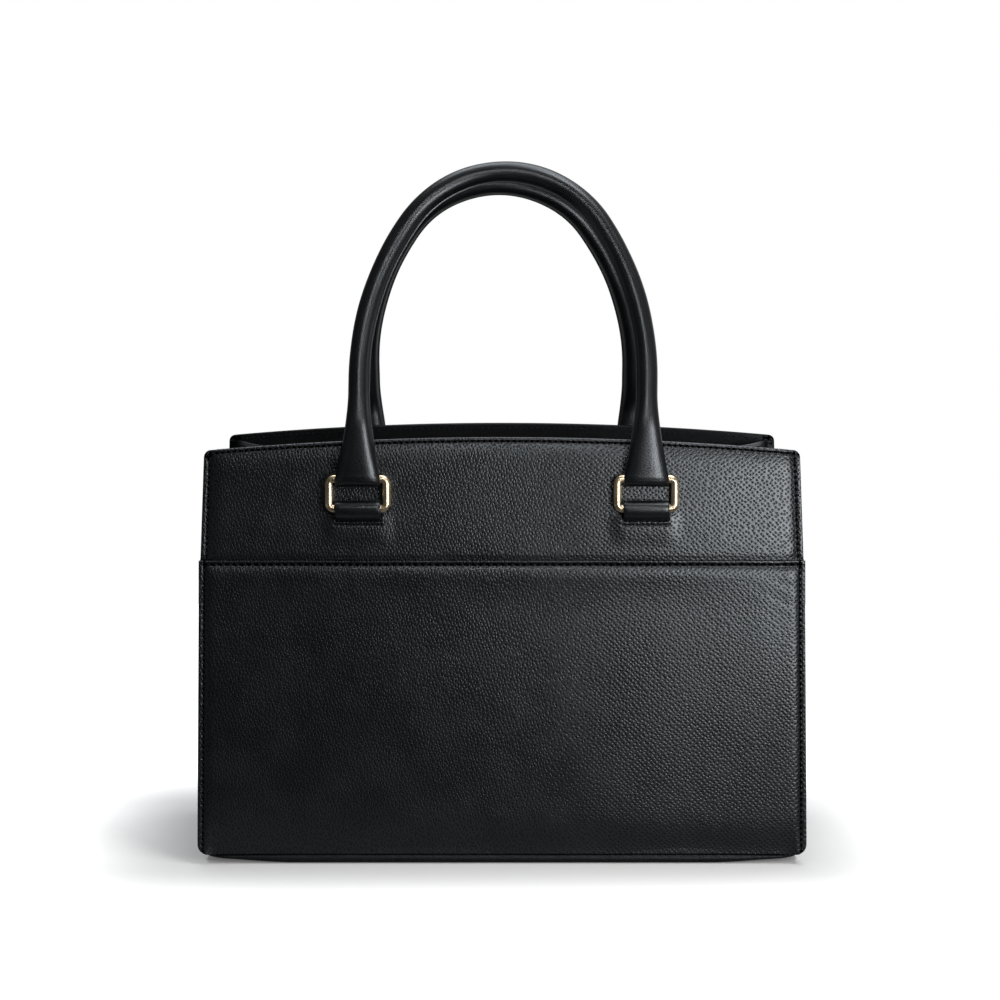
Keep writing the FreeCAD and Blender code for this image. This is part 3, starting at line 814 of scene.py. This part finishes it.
def buildYoke(side):
    low, half = seamUp - wall["lap"], wall["topHalf"]
    slitEnds = [s * (ringX + t * (strapHalf + 0.4 * mm)) for s in (-1, 1) for t in (-1, 1)]
    acrossLanes = mergedLanes(endLanes(-half, half, 2.3 * mm, 0.16 * mm, 1.5 * mm),
                              lanes(-half, half, 2.3 * mm, 0.45 * mm, 1.6 * mm, *slitEnds))
    upLanes = mergedLanes(lanes(low, crownUp, 2.2 * mm, 0.13 * mm, 1.6 * mm, crownUp),
                          lanes(low, crownUp, 2.6 * mm, 0.4 * mm, 1.1 * mm, seamUp, slit["low"], slit["high"],
                                slit["low"] - slit["rowDrop"], crownUp - wall["topRow"]))
    a, b = np.meshgrid(acrossLanes / half, (upLanes - low) / (crownUp - low))
    top = edgeUp(a * half) + yokeForm["cap"]
    up = low + b * (top - low)
    fromTop = top - up
    x, fromSide, edge = roundCornered(a, yokeHalf(up), fromTop, wall["topCorner"])
    capBand = step(fromTop, yokeForm["capLow"], yokeForm["capHigh"])
    back = wall["leather"] + (wall["boardBack"] + wall["play"] - wall["leather"]) * capBand
    skive = step(up, seamUp + 0.2 * mm, seamUp - 0.5 * mm) * (wall["skived"] + wall["play"])
    relief, dark = yokeRelief(x, up, fromSide, fromTop)
    outer = skive - relief * step(up, seamUp - 1 * mm, seamUp + 1.5 * mm) + edgeRoll(fromSide, fromTop)
    name = side + "_yoke_leather"
    mesh = wallSheet(name, side, x, up, outer, back, np.minimum(edge, up - low),
                     yokeForm["rim"] + yokeForm["capRim"] * capBand, np.stack([fromSide, fromTop], -1), dark)
    addPiece(name, mesh, yokeHide, "bag", [side + "_yoke"])


def yokeStitches(side):
    x = np.linspace(-topReach, topReach, 400)
    sink = wall["groove"] * 0.75
    wallStitches(side + "_top_stitches", side, x, sink + yokeForm["topDip"],
                 edgeUp(x) + yokeForm["cap"] - wall["topRow"])
    for name, sign in sideSigns:
        up = np.linspace(*yokeRun, 200)
        wallStitches("%s_yoke_%s_stitches" % (side, name), side, sign * (yokeHalf(up) - wall["sideRow"]),
                     sink + edgeRoll(wall["sideRow"], 20 * mm), up)
        x = sign * ringX + np.linspace(-strapHalf, strapHalf, 20)
        wallStitches("%s_%s_tail_stitches" % (side, name), side, x, -yokeForm["tailLift"] * 0.72,
                     slit["low"] - slit["rowDrop"], pitch=stitch["tailPitch"])


# Lower panels: lap over the yoke at the seam and turn under at the base

panelForm = inMm(puff=1.3, pinned=1.5, puffRun=3.2, sideRun=2.2, dish=1.6, dishSide=64.0, dishTop=26.0,
                 sideLine=0.8, seamLine=0.5, wave=0.22, roll=2.2, rollHeight=11.0, rimWidth=5.5)
panelForm["pulls"] = (dict(inMm(atX=146, atUp=139, spread=14, length=8.0, depth=0.13), turn=1.15),
                      dict(inMm(atX=-147, atUp=140, spread=11, length=8.0, depth=0.065), turn=2.0))


def panelRelief(x, up, fromSide, fromTop):
    # outward height: pinned at the stitch rows and full beside them, dished towards the middle, turned in
    # along the bottom edge; and the shade painted into the rows
    form = panelForm
    puff = ((1 - bell(np.maximum(fromSide - form["pinned"], 0), form["sideRun"]))
            * (1 - bell(np.maximum(fromTop - form["pinned"], 0), form["puffRun"])))
    dish = ((1 - (1 - np.clip(fromSide / form["dishSide"], 0, 1)) ** 2)
            * (1 - (1 - np.clip(fromTop / form["dishTop"], 0, 1)) ** 2))
    rows = bell(fromSide - wall["sideRow"], form["sideLine"]) * step(fromTop, 0.6 * mm, 1.4 * mm)
    seamLine = bell(fromTop - wall["seamRow"], form["seamLine"]) * step(fromSide, 2 * mm, 3.4 * mm)
    turnIn = bell(up, form["rollHeight"]) * step(fromSide, 2.5 * mm, form["rimWidth"] + 3 * mm)
    pulls = sum(dragFolds(x, up, **pull) for pull in form["pulls"])
    slow = np.sin(x / (34 * mm) + 0.6) * np.sin(up / (27 * mm) + 0.4)
    slow = slow + 0.6 * np.sin(x / (19 * mm) - up / (23 * mm))
    slow = form["wave"] * slow * step(fromSide, 3 * mm, 25 * mm) * step(fromTop, 3 * mm, 18 * mm)
    relief = (form["puff"] * puff - form["dish"] * dish + pulls + slow - wall["groove"] * rows
              - wall["seamGroove"] * seamLine - form["roll"] * turnIn)
    return relief, np.maximum(0.45 * rows, 0.25 * seamLine)


def buildLowerPanel(side):
    half = wall["bottomHalf"]
    a, up = np.meshgrid(endLanes(-half, half, 2.2 * mm, 0.15 * mm, 2.2 * mm) / half,
                        endLanes(0, seamUp, 2.2 * mm, 0.15 * mm, 2.0 * mm))
    fromTop = seamUp - up
    x, fromSide, edge = roundCornered(a, panelHalf(up), up, wall["bottomCorner"])
    relief, dark = panelRelief(x, up, fromSide, fromTop)
    underLap = step(fromTop, wall["lap"] + 0.6 * mm, wall["lap"] - 0.2 * mm)
    back = wall["leather"] - (wall["skived"] + wall["play"]) * underLap
    back = back + np.maximum(0, -relief - 0.4 * mm)
    name = side + "_lower_leather"
    mesh = wallSheet(name, side, x, up, -lapStep - relief, back, np.minimum(edge, fromTop), 0.5 * mm,
                     np.stack([fromSide, fromTop], -1), dark)
    addPiece(name, mesh, lowerHidePaintedShade, "bag", [side + "_lower_panel"])


def lowerStitches(side):
    x = np.linspace(-seamReach, seamReach, 400)
    wallStitches(side + "_seam_stitches", side, x, -lapStep + wall["seamGroove"] * 0.85,
                 seamUp - wall["seamRow"], pitch=stitch["seamPitch"])
    inward = -lapStep + wall["groove"] * 1.15
    for name, sign in sideSigns:
        up = np.linspace(*lowerRun, 300)
        x = sign * (panelHalf(up) - wall["sideRow"])
        wallStitches("%s_lower_%s_stitches" % (side, name), side, x, inward, up)


for wallSide in wallTurn:
    buildYoke(wallSide)
    yokeStitches(wallSide)
    buildLowerPanel(wallSide)
    lowerStitches(wallSide)
print("outer walls ready")


# Facings and wall linings, inside each wall

def innerSheet(side, name, low, top, inner, edgeRadius, slack):
    # a thin layer inside the wall's board, straight or arched on top; slack lets cloth belly a little
    inset = wall["innerInset"]
    half = wall["topHalf"] - inset
    acrossLanes = endLanes(-half, half, 3.0 * mm, 0.2 * mm, 1.2 * mm)
    a, b = np.meshgrid(acrossLanes / half, endLanes(0, 1, 0.03, 0.0016, 0.012))
    topLine = np.broadcast_to(top(a * half), a.shape)
    up = low + b * (topLine - low)
    wide = wallHalf(up) - inset
    x = a * np.minimum(wide, wallHalf(low) - inset)
    edge = boxEdge((1 - np.abs(a)) * wide, up, low, topLine)
    belly = slack * np.sin(np.pi * b) * (0.6 + 0.4 * np.sin(x / (23 * mm)) * np.sin(up / (31 * mm)))
    return wallSheet(name, side, x, up, wall["boardBack"] + 0.02 * mm, inner + belly, edge, edgeRadius)


def buildInside(side):
    facingLow = wall["cornerUp"] - wall["facingHeight"]
    mesh = innerSheet(side, side + "_facing_leather", facingLow, lambda x: edgeUp(x) + 0.3 * mm,
                      inner=wall["facingBack"], edgeRadius=0.55 * mm, slack=0.0)
    addPiece(side + "_facing_leather", mesh, facingHide, "bag", [side + "_facing"])
    foot = wall["liningFoot"]
    mesh = innerSheet(side, side + "_lining_cloth", foot, lambda x: facingLow + 0 * x,
                      inner=wall["liningBack"], edgeRadius=0.3 * mm, slack=0.5 * mm)
    cloth = addPiece(side + "_lining_cloth", mesh, liningCloth, "bag", [side + "_lining"])
    reach = wall["topHalf"] - wall["innerInset"] - 2 * mm
    x = np.linspace(-reach, reach, 300)
    for name, up in (("top", edgeUp(x) - wall["topRow"]), ("low", facingLow + 2 * mm)):
        wallStitches("%s_facing_%s_stitches" % (side, name), side, x, wall["facingBack"] - 0.12 * mm, up,
                     faces=-1, slotName="facing_leather")


for wallSide in wallTurn:
    buildInside(wallSide)
print("facings and linings ready")


# Gussets: each side folds inward in a soft V as it rises, with a flange sewn to either wall

gussetForm = dict(inMm(leather=1.4, flange=4.0, foldDepth=24.0, drop=2.5, bend=1.1, bulge=1.8, lining=0.8,
                       gap=0.2, row=2.3, rowWidth=0.6, rowSink=0.15, rowEnd=4.0, groove=0.25, rim=0.75,
                       tipGap=0.3, liningRim=0.4, liningDrop=0.5),
                  crease=0.07, paintedFlangeShade=0.85, liningShare=0.95)
gussetUp = wall["cornerUp"] - gussetForm["drop"]
gussetSide = halfDepth


def depthAt(layer, up):
    # half the distance between the walls, measured to a depth inside their layers
    return halfDepth - layer / math.cos(wallLean) - up * math.sin(wallLean)


def gussetMiddle(t, up):
    # plan of the fold: t runs along it from the front flange (below zero) through the crease to the back one
    rise = up / gussetUp
    share = np.clip(np.abs(t) / gussetSide, 0, 1)
    soft = gussetForm["crease"]
    lane = (np.hypot(share, soft) - soft) / (math.hypot(1, soft) - soft)
    y = np.sign(t) * depthAt(wall["leather"] + gussetForm["leather"] / 2, up) * share
    root = wallHalf(up) - gussetForm["flange"] - gussetForm["leather"] / 2
    tip = wallHalf(up) - cornerInset(up, wall["bottomCorner"]) - gussetForm["tipGap"]
    past = np.maximum(np.abs(t) - gussetSide, 0) / (gussetForm["flange"] + gussetForm["leather"] / 2)
    x = root - gussetForm["foldDepth"] * rise * (1 - lane) + past * (tip - root)
    return x + gussetForm["bulge"] * rise * np.sin(np.pi * share) ** 2, y


def gussetSheet(t, up):
    # the plan softened along t by a narrow bell, with its outward direction
    reach = abs(t).max() + 4 * gussetForm["bend"]
    fine = np.arange(-reach, reach, 0.2 * mm)
    weight = bell(t[:, None] - fine[None], gussetForm["bend"])
    weight /= weight.sum(1, keepdims=True)
    x, y = [part @ weight.T for part in gussetMiddle(fine[None], up[:, None])]
    alongX, alongY = np.gradient(x, t, axis=1), np.gradient(y, t, axis=1)
    size = np.hypot(alongX, alongY)
    z = footHeight + up[:, None] * math.cos(wallLean) + 0 * x
    return np.stack([x, y, z], -1), np.stack([alongY / size, -alongX / size, 0 * x], -1)


def buildGusset(name, turn):
    # right gusset as worked out, left one turned half round
    halfRound = np.array([turn, turn, 1.0])
    reach = gussetSide + gussetForm["flange"] + gussetForm["leather"] / 2
    t = endLanes(-reach, reach, 2.4 * mm, 0.3 * mm, 3.5 * mm, -gussetSide, gussetSide, 0)
    up = endLanes(0, gussetUp, 3.0 * mm, 0.25 * mm, 2.0 * mm)
    middle, out = gussetSheet(t, up)
    tt, uu = np.meshgrid(t, up)
    edge = boxEdge(reach - np.abs(tt), uu, 0, gussetUp)
    thick = zeroBorder(roundOff(edge, gussetForm["rim"]))[..., None] * gussetForm["leather"] / 2
    groove = bell(gussetUp - uu - gussetForm["row"], gussetForm["rowWidth"]) * gussetForm["groove"]
    groove = groove[..., None]
    # painted shade on the flange strips beside each wall, where the walls shade them
    paintedFlangeShade = gussetForm["paintedFlangeShade"] * step(np.abs(tt), gussetSide - 2 * mm, gussetSide + 1 * mm)
    mesh = sealedSheet(name + "_gusset_leather", (middle + out * (thick - groove)) * halfRound,
                       (middle - out * thick) * halfRound, np.stack([tt, uu], -1), dark=paintedFlangeShade)
    addPiece(name + "_gusset_leather", mesh, sideGrained, "bag", [name + "_gusset"])
    reach = gussetSide - gussetForm["rowEnd"]
    t = np.linspace(-reach, reach, 240)
    middle, out = gussetSheet(t, np.array([gussetUp - gussetForm["row"]]))
    path = (middle[0] + out[0] * (gussetForm["leather"] / 2 - gussetForm["rowSink"])) * halfRound
    stitchRow(name + "_gusset_stitches", path, out[0] * halfRound)
    reach = gussetForm["liningShare"] * gussetSide
    foot, head = wall["liningFoot"], gussetUp - gussetForm["liningDrop"]
    t = endLanes(-reach, reach, 2.6 * mm, 0.3 * mm, 2.5 * mm, 0)
    up = endLanes(foot, head, 4.0 * mm, 0.25 * mm, 1.5 * mm)
    middle, out = gussetSheet(t, up)
    tt, uu = np.meshgrid(t, up)
    edge = boxEdge(reach - np.abs(tt), uu, foot, head)
    middle = middle - out * (gussetForm["leather"] / 2 + gussetForm["gap"] + gussetForm["lining"] / 2)
    thick = zeroBorder(roundOff(edge, gussetForm["liningRim"]))[..., None] * gussetForm["lining"] / 2
    mesh = sealedSheet(name + "_lining_cloth", (middle + out * thick) * halfRound,
                       (middle - out * thick) * halfRound, np.stack([tt, uu], -1))
    cloth = addPiece(name + "_lining_cloth", mesh, liningCloth, "bag", [name + "_lining"])


for gussetName, gussetTurn in sideSigns[::-1]:
    buildGusset(gussetName, gussetTurn)
print("gussets ready")


# Base: a rolled leather bottom, the welt that closes its corners, the upstands, and the lining inside

baseForm = inMm(corner=12.0, endLift=2.4, liftFrom=105.0, edge=2.3, welt=1.6, weltCorner=4.0, weltEdge=0.7,
                weltInset=1.8, upstand=8.0, liningInset=0.3, liningCorner=5.0, liningEdge=0.4,
                liningWave=0.25)


def flatPlate(name, halfX, halfY, corner, low, high, edgeRadius, wave=0.0, endLift=0.0):
    # a plate with round corners and a half round edge; its top may lie a little uneven, its ends may lift
    y1 = endLanes(-halfY, halfY, 3.0 * mm, 0.3 * mm, 4.0 * mm)
    x1 = endLanes(-halfX, halfX, 3.0 * mm, 0.3 * mm, 4.0 * mm)
    a, y = np.meshgrid(x1 / halfX, y1)
    inset = cornerInset(halfY - np.abs(y), corner)
    x = a * (halfX - inset)
    edge = outlineDistance(halfX - np.abs(x), halfY - np.abs(y), corner)
    share = zeroBorder(roundOff(edge, edgeRadius))
    low = low + endLift * step(np.abs(x), baseForm["liftFrom"], halfX)
    middle = (low + high) / 2
    uneven = wave * np.sin(x / (29 * mm)) * np.sin(y / (17 * mm) + 0.4) * step(edge, 0, 12 * mm)
    top = np.stack([x, y, middle + (high - middle) * share + uneven], -1)
    under = np.stack([x, y, middle + (low - middle) * share + np.abs(uneven)], -1)
    return sealedSheet(name, top, under, np.stack([x + top[..., 2], y - top[..., 2]], -1))


def buildBase():
    low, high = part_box("base_panel")
    halfX, halfY = high.x, high.y
    mesh = flatPlate("base_leather", halfX, halfY, baseForm["corner"], 0.0, footHeight - wall["play"],
                     baseForm["edge"], endLift=baseForm["endLift"])
    addPiece("base_leather", mesh, baseGrained, "bag", ["base_panel"])
    inset = baseForm["weltInset"]
    mesh = flatPlate("base_welt", halfX - inset, halfY - inset, baseForm["weltCorner"],
                     footHeight - baseForm["welt"], footHeight, baseForm["weltEdge"])
    addPiece("base_welt", mesh, baseGrained, "bag")
    reach, rise = halfX - baseForm["corner"], baseForm["upstand"]
    middle = (wall["leather"] + wall["boardBack"]) / 2
    thick = (wall["boardBack"] - wall["leather"]) / 2 * 0.9
    for side in wallTurn:
        x, up = np.meshgrid(endLanes(-reach, reach, 6 * mm, 0.4 * mm, 1 * mm),
                            endLanes(0, rise, 1 * mm, 0.2 * mm, 0.8 * mm))
        mesh = wallSheet(side + "_base_upstand", side, x, up, middle - thick, middle + thick,
                         boxEdge(reach - np.abs(x), up, 0, rise), 0.5 * mm)
        addPiece(side + "_base_upstand", mesh, sideGrained, "bag")
    low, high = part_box("base_lining")
    inset = baseForm["liningInset"]
    mesh = flatPlate("base_lining_cloth", high.x - inset, high.y - inset, baseForm["liningCorner"], low.z,
                     high.z, baseForm["liningEdge"], baseForm["liningWave"])
    cloth = addPiece("base_lining_cloth", mesh, liningCloth, "bag", ["base_lining"])


buildBase()
print("base ready")


# Magnetic closure on the facings: turned discs, one with a well and one with a stud

snapForm = dict(
    drop=20.0 * mm,
    socket=((2.0, 0.0), (8.6, 0.0), (8.9, 0.1), (9.0, 0.4), (9.0, 1.7), (8.9, 2.1), (8.6, 2.35), (8.2, 2.4),
            (7.6, 2.4), (7.3, 2.3), (7.0, 2.3), (6.7, 2.4), (5.9, 2.4), (5.5, 2.3), (5.25, 2.0), (5.2, 1.4),
            (5.0, 1.2), (4.0, 1.2), (1.0, 1.2)),
    stud=((2.0, 0.0), (8.6, 0.0), (8.9, 0.1), (9.0, 0.3), (9.0, 0.8), (8.9, 1.05), (8.6, 1.2), (7.4, 1.2),
          (6.9, 1.1), (6.4, 1.2), (5.3, 1.2), (5.1, 1.3), (5.0, 1.6), (5.0, 2.0), (4.9, 2.25), (4.6, 2.4),
          (3.0, 2.4), (1.0, 2.35)),
)


def buildSnap(side, kind):
    # a profile of radius and height turned about the wall's inward direction
    profile = np.array(snapForm[kind]) * mm
    turn = np.linspace(0, 2 * np.pi, 64, endpoint=False)
    x = profile[:, :1] * np.cos(turn)
    up = crownUp - snapForm["drop"] + profile[:, :1] * np.sin(turn)
    rings = onWall(side, x, wall["facingBack"] + profile[:, 1:] + 0 * x, up)
    mesh = sweptTube("snap_" + kind + "_disc", rings, np.zeros((len(profile), 65, 2)))
    addPiece("snap_" + kind + "_disc", mesh, snapMetal, "bag", ["snap_" + kind])


buildSnap("front", "socket")
buildSnap("back", "stud")
print("closure ready")


def superRound(angle, power):
    # cosine and sine of a squarish round section
    c, s = np.cos(angle), np.sin(angle)
    return np.sign(c) * np.abs(c) ** (2 / power), np.sign(s) * np.abs(s) ** (2 / power)


# Rings: a soft bar with a low ridge, bent to a rectangle with tight corners

ringForm = dict(inMm(halfX=14.4, halfUp=7.4, bend=2.6, wide=2.05, deep=1.9, ridge=0.62, standoff=4.3),
                square=3.0, ridgeSoft=0.16)
lowerBarUp = (lowerBar[2] - footHeight - ringForm["standoff"] * math.sin(wallLean)) / math.cos(wallLean)
upperBarUp = lowerBarUp + 2 * ringForm["halfUp"]


def buildRing(side, end, name, x):
    # a squarish section, ridged in front, carried round the corners; straight bars join the corner arcs
    bend = ringForm["bend"]
    quarter = np.linspace(0, np.pi / 2, 12)
    turn = (np.arange(4)[:, None] * np.pi / 2 + quarter).ravel()
    signX = np.repeat([1, -1, -1, 1], len(quarter))
    signUp = np.repeat([1, 1, -1, -1], len(quarter))
    out = np.stack([np.cos(turn), np.sin(turn)], -1)
    corner = [signX * (ringForm["halfX"] - bend), signUp * (ringForm["halfUp"] - bend)]
    middle = np.stack(corner, -1) + out * bend
    squareC, squareS = superRound(np.linspace(0, 2 * np.pi, 48, endpoint=False), ringForm["square"])
    off = ringForm["wide"] * squareC
    soft = ringForm["ridgeSoft"]
    fall = ringForm["ridge"] * (np.hypot(squareC, soft) - soft) * (squareS > 0) * squareS
    inward = -ringForm["standoff"] - ringForm["deep"] * squareS + fall
    px = x + middle[:, :1] + out[:, :1] * off
    up = (lowerBarUp + upperBarUp) / 2 + middle[:, 1:] + out[:, 1:] * off
    rings = onWall(side, px, inward[None], up)
    mesh = sweptTube(name + "_ring_wire", rings, np.zeros((len(turn) + 1, 49, 2)), closed=True)
    addPiece(name + "_ring_wire", mesh, goldMetal, end + "_rings", [name + "_ring"])


# Chapes: a flat strap that leaves its slit, turns round the lower bar and goes back in

chapeForm = inMm(
    thick=1.6, turnRadius=3.05, slitDepth=0.2, outUp=170.9, backUp=172.7, crown=0.2, hang=4.2, roll=3.6,
    tail=np.array([[2.1, 159.5], [2.1, 163], [2.05, 166], [1.9, 168.2], [1.4, 169.9], [0.8, 170.7]]),
    back=np.array([[0.9, 172.2], [1.6, 171.6], [2.0, 170.8]]))


def tangentTurn(point, centre, radius, sign):
    # the turn on a circle whose tangent passes through a point
    away = point - centre
    return math.atan2(away[1], away[0]) + sign * math.acos(radius / np.hypot(*away))


def ribbon(path, halfWide, thick, crown):
    # a strap section, flat with half round edges, carried along a path in the wall's inward and up plane
    along = unit(np.gradient(path, axis=0))
    normal = np.stack([-along[:, 1], along[:, 0]], -1)
    flat = np.linspace(-1, 1, 13) * (halfWide - thick / 2)
    arc = np.linspace(-np.pi / 2, np.pi / 2, 7)[1:-1]
    across = np.concatenate([flat, halfWide - thick / 2 + thick / 2 * np.cos(arc[::-1]), flat[::-1],
                             -halfWide + thick / 2 - thick / 2 * np.cos(arc)])
    rise = np.concatenate([0 * flat + 1, np.sin(arc[::-1]), 0 * flat - 1, np.sin(arc)]) * thick / 2
    rise = rise + crown * (1 - (across / halfWide) ** 2) * (rise > 0)
    return across, path[:, None, 0] + normal[:, :1] * rise, path[:, None, 1] + normal[:, 1:] * rise


def buildChape(side, name, x):
    # its path, inward and up: the tail, a curve out of the slit, the turn, and back in
    bar = np.array([-ringForm["standoff"], lowerBarUp])
    outAt, backAt = [np.array([chapeForm["slitDepth"], chapeForm[key]]) for key in ("outUp", "backUp")]
    radius = chapeForm["turnRadius"]
    stop = tangentTurn(backAt, bar, radius, 1) % (2 * np.pi)
    turn = np.linspace(np.pi, stop - 2 * np.pi if stop > np.pi else stop, 40)
    loop = bar + radius * np.stack([np.cos(turn), np.sin(turn)], -1)
    s = np.linspace(0, 1, 16)[:-1, None]
    leave = outAt - [chapeForm["roll"], 0.15 * mm]
    reach = loop[0] - [0, chapeForm["hang"]]
    front = ((1 - s) ** 3 * outAt + 3 * s * (1 - s) ** 2 * leave + 3 * s ** 2 * (1 - s) * reach
             + s ** 3 * loop[0])
    backIn = loop[-1] + (backAt - loop[-1]) * np.linspace(0.15, 0.85, 5)[:, None]
    path = np.concatenate([chapeForm["tail"], front, loop, backIn, [backAt], chapeForm["back"]])
    across, inward, up = ribbon(path, strapHalf - wall["play"], chapeForm["thick"], chapeForm["crown"])
    wide = np.concatenate([across, across[:1]])
    uv = np.stack(np.broadcast_arrays(wide[None], runAlong(path)[:, None]), -1)
    mesh = sweptTube(name + "_chape_strap", onWall(side, x + across[None], inward, up), uv)
    addPiece(name + "_chape_strap", mesh, smooth, "bag", [name + "_chape"])


for wallSide, endName, leftSign in (("front", "front", -1), ("back", "rear", 1)):
    for ringName, ringSign in (("left", leftSign), ("right", -leftSign)):
        buildRing(wallSide, endName, endName + "_" + ringName, ringSign * ringX)
        buildChape(wallSide, endName + "_" + ringName, ringSign * ringX)
print("rings and straps ready")


# Handles: a tab wraps the upper bar, flares into a round sewn tube and arches over

handleForm = dict(
    inMm(tube=5.0, wrap=3.8, tabThick=3.8, tabBulge=1.3, bulgeRun=16.0, bendRise=6.8, bendRadius=30.0,
         runOut=7.0, straightLeg=9.0, rise=104.5, topRadius=58.0, edgeGap=0.5, skew=1.6, lip=0.8,
         lipWidth=0.32, valley=0.25, valleyAt=2.0, valleyWidth=0.7, uneven=0.06),
    flarePower=1.6, tabSquare=1.0, lean=dict(front=12.0, rear=20.0),
)
bendStart = float(edgeUp(ringX)) - upperBarUp + handleForm["bendRise"]
flareRun = (bendStart + handleForm["bendRadius"] * math.radians(max(handleForm["lean"].values()))
            + handleForm["runOut"])
legRun = flareRun + handleForm["straightLeg"]


def legAt(run, lean):
    # middle line of a leg: up beside the wall, a bend inward over the top edge, then straight at the lean
    bow = ringForm["standoff"] + ((handleForm["tube"] + handleForm["edgeGap"] - ringForm["standoff"])
                                  * np.clip(run / bendStart, 0, 1))
    turn = math.radians(lean) - wallLean
    radius = handleForm["bendRadius"]
    angle = np.clip((run - bendStart) / radius, 0, turn)
    past = np.maximum(run - bendStart - radius * turn, 0)
    inward = radius * (1 - np.cos(angle)) + past * np.sin(angle) - bow
    rise = np.minimum(run, bendStart) + radius * np.sin(angle) + past * np.cos(angle)
    return inward, upperBarUp + rise, angle


def archLine():
    # left half of the arch in its own plane: x, run and heading (0 straight up, a quarter turn at the top)
    form = handleForm
    sideRadius = ((ringX ** 2 + form["rise"] ** 2 - 2 * form["rise"] * form["topRadius"])
                  / (2 * (ringX - form["topRadius"])))
    join = math.atan2(form["rise"] - form["topRadius"], sideRadius - ringX)
    wrapRun = -form["wrap"] * np.cos(np.linspace(0.04, np.pi / 2, 12))
    footRun = np.concatenate([wrapRun, np.linspace(0, flareRun, 46)[1:],
                              np.linspace(flareRun, legRun, 7)[1:]])
    onSide = np.linspace(0, join, 44)[1:]
    onTop = np.linspace(join, np.pi / 2, 32)[1:]
    x = np.concatenate([0 * footRun - ringX, -(ringX - sideRadius + sideRadius * np.cos(onSide)),
                        -form["topRadius"] * np.cos(onTop)])
    run = np.concatenate([footRun, legRun + sideRadius * np.sin(onSide),
                          legRun + form["rise"] - form["topRadius"] + form["topRadius"] * np.sin(onTop)])
    heading = np.concatenate([0 * footRun, onSide, onTop])
    x[-1] = 0
    return x, run, heading


def handleRows(lean):
    # both halves of the arch: middle points, outer direction across, and the direction away from the wall
    x, run, heading = archLine()
    x = np.concatenate([x, -x[-2::-1]])
    heading = np.concatenate([heading, np.pi - heading[-2::-1]])
    run = np.concatenate([run, run[-2::-1]])
    inward, up, angle = legAt(run, lean)
    slide = handleForm["skew"] * np.clip(run / (legRun + handleForm["rise"]), 0, 1)
    acrossX = -np.cos(heading)
    acrossRun = np.sin(heading)
    return x + slide, run, heading, inward, up, angle, acrossX, acrossRun


def buildHandle(side, end):
    form = handleForm
    x, run, heading, inward, up, angle, acrossX, acrossRun = [
        part[:, None] for part in handleRows(form["lean"][end])]
    foot = np.isclose(np.sin(heading), 0)
    narrowing = np.where(foot, (1 - np.clip(run / flareRun, 0, 1)) ** form["flarePower"], 0)
    wide = form["tube"] + (strapHalf - form["tube"]) * narrowing
    flat = form["tube"] + (form["tabThick"] - form["tube"]) * narrowing
    roll = np.sqrt(np.maximum(form["wrap"] ** 2 - np.minimum(np.abs(run), form["wrap"]) ** 2, 0))
    thick = np.where(run < 0, roll, (flat ** 8 + roll ** 8) ** (1 / 8))
    turn = lanes(0, 2 * np.pi, 0.17, 0.018, 0.16, np.pi)[:-1]
    c, s = superRound(turn[None], 2 + form["tabSquare"] * narrowing ** 0.5)
    fromSeam = np.abs(turn - np.pi)[None] * form["tube"]
    fade = step(run, 6 * mm, 24 * mm)
    ridge = bell(fromSeam, form["lipWidth"]) * fade
    beside = bell(fromSeam - form["valleyAt"], form["valleyWidth"]) * fade
    lip = form["lip"] * ridge - form["valley"] * beside
    length = runAlong(np.concatenate([x, run], 1))[:, None]
    lip = lip + form["uneven"] * np.sin(length / (6.5 * mm) + 2 * np.sin(turn)[None]) * (1 - narrowing)
    offAcross = (wide + lip) * c
    bulge = form["tabBulge"] * bell(np.maximum(run - 2 * mm, 0), form["bulgeRun"])
    bulge = np.where(run < 0, bulge * thick / form["wrap"], bulge)
    offOut = (thick + np.where(run < 0, 0, lip) + bulge * (s > 0)) * s
    px = x + acrossX * offAcross
    pInward = inward + acrossRun * np.sin(angle) * offAcross - np.cos(angle) * offOut
    pUp = up + acrossRun * np.cos(angle) * offAcross + np.sin(angle) * offOut
    around = np.concatenate([turn, [2 * np.pi]])[None] * form["tube"] * (1 + narrowing)
    uv = np.stack(np.broadcast_arrays(around, length), -1)
    mesh = sweptTube(end + "_handle_leather", onWall(side, px, pInward, pUp), uv)
    # the ridge is marked for a lighter colour: edge paint and a painted highlight line
    painted = np.concatenate([ridge.ravel(), [0, 0]])
    mesh.attributes.new("ridge", "FLOAT", "POINT").data.foreach_set("value", painted.astype(np.float32))
    addPiece(end + "_handle_leather", mesh, smooth, end + "_handle",
             [end + "_handle_cover"])


for wallSide, endName in (("front", "front"), ("back", "rear")):
    buildHandle(wallSide, endName)
print("handles ready")


# Hidden boards and cords keep their solids, with a finish of their own

for nodeName, fibre in (("front_stiffener", boardFibre), ("back_stiffener", boardFibre),
                        ("base_board", boardFibre), ("front_handle_core", cordFibre),
                        ("rear_handle_core", cordFibre)):
    node = frame["nodes"][nodeName]
    node.data.materials.clear()
    node.data.materials.append(fibre)

bpy.context.view_layer.update()
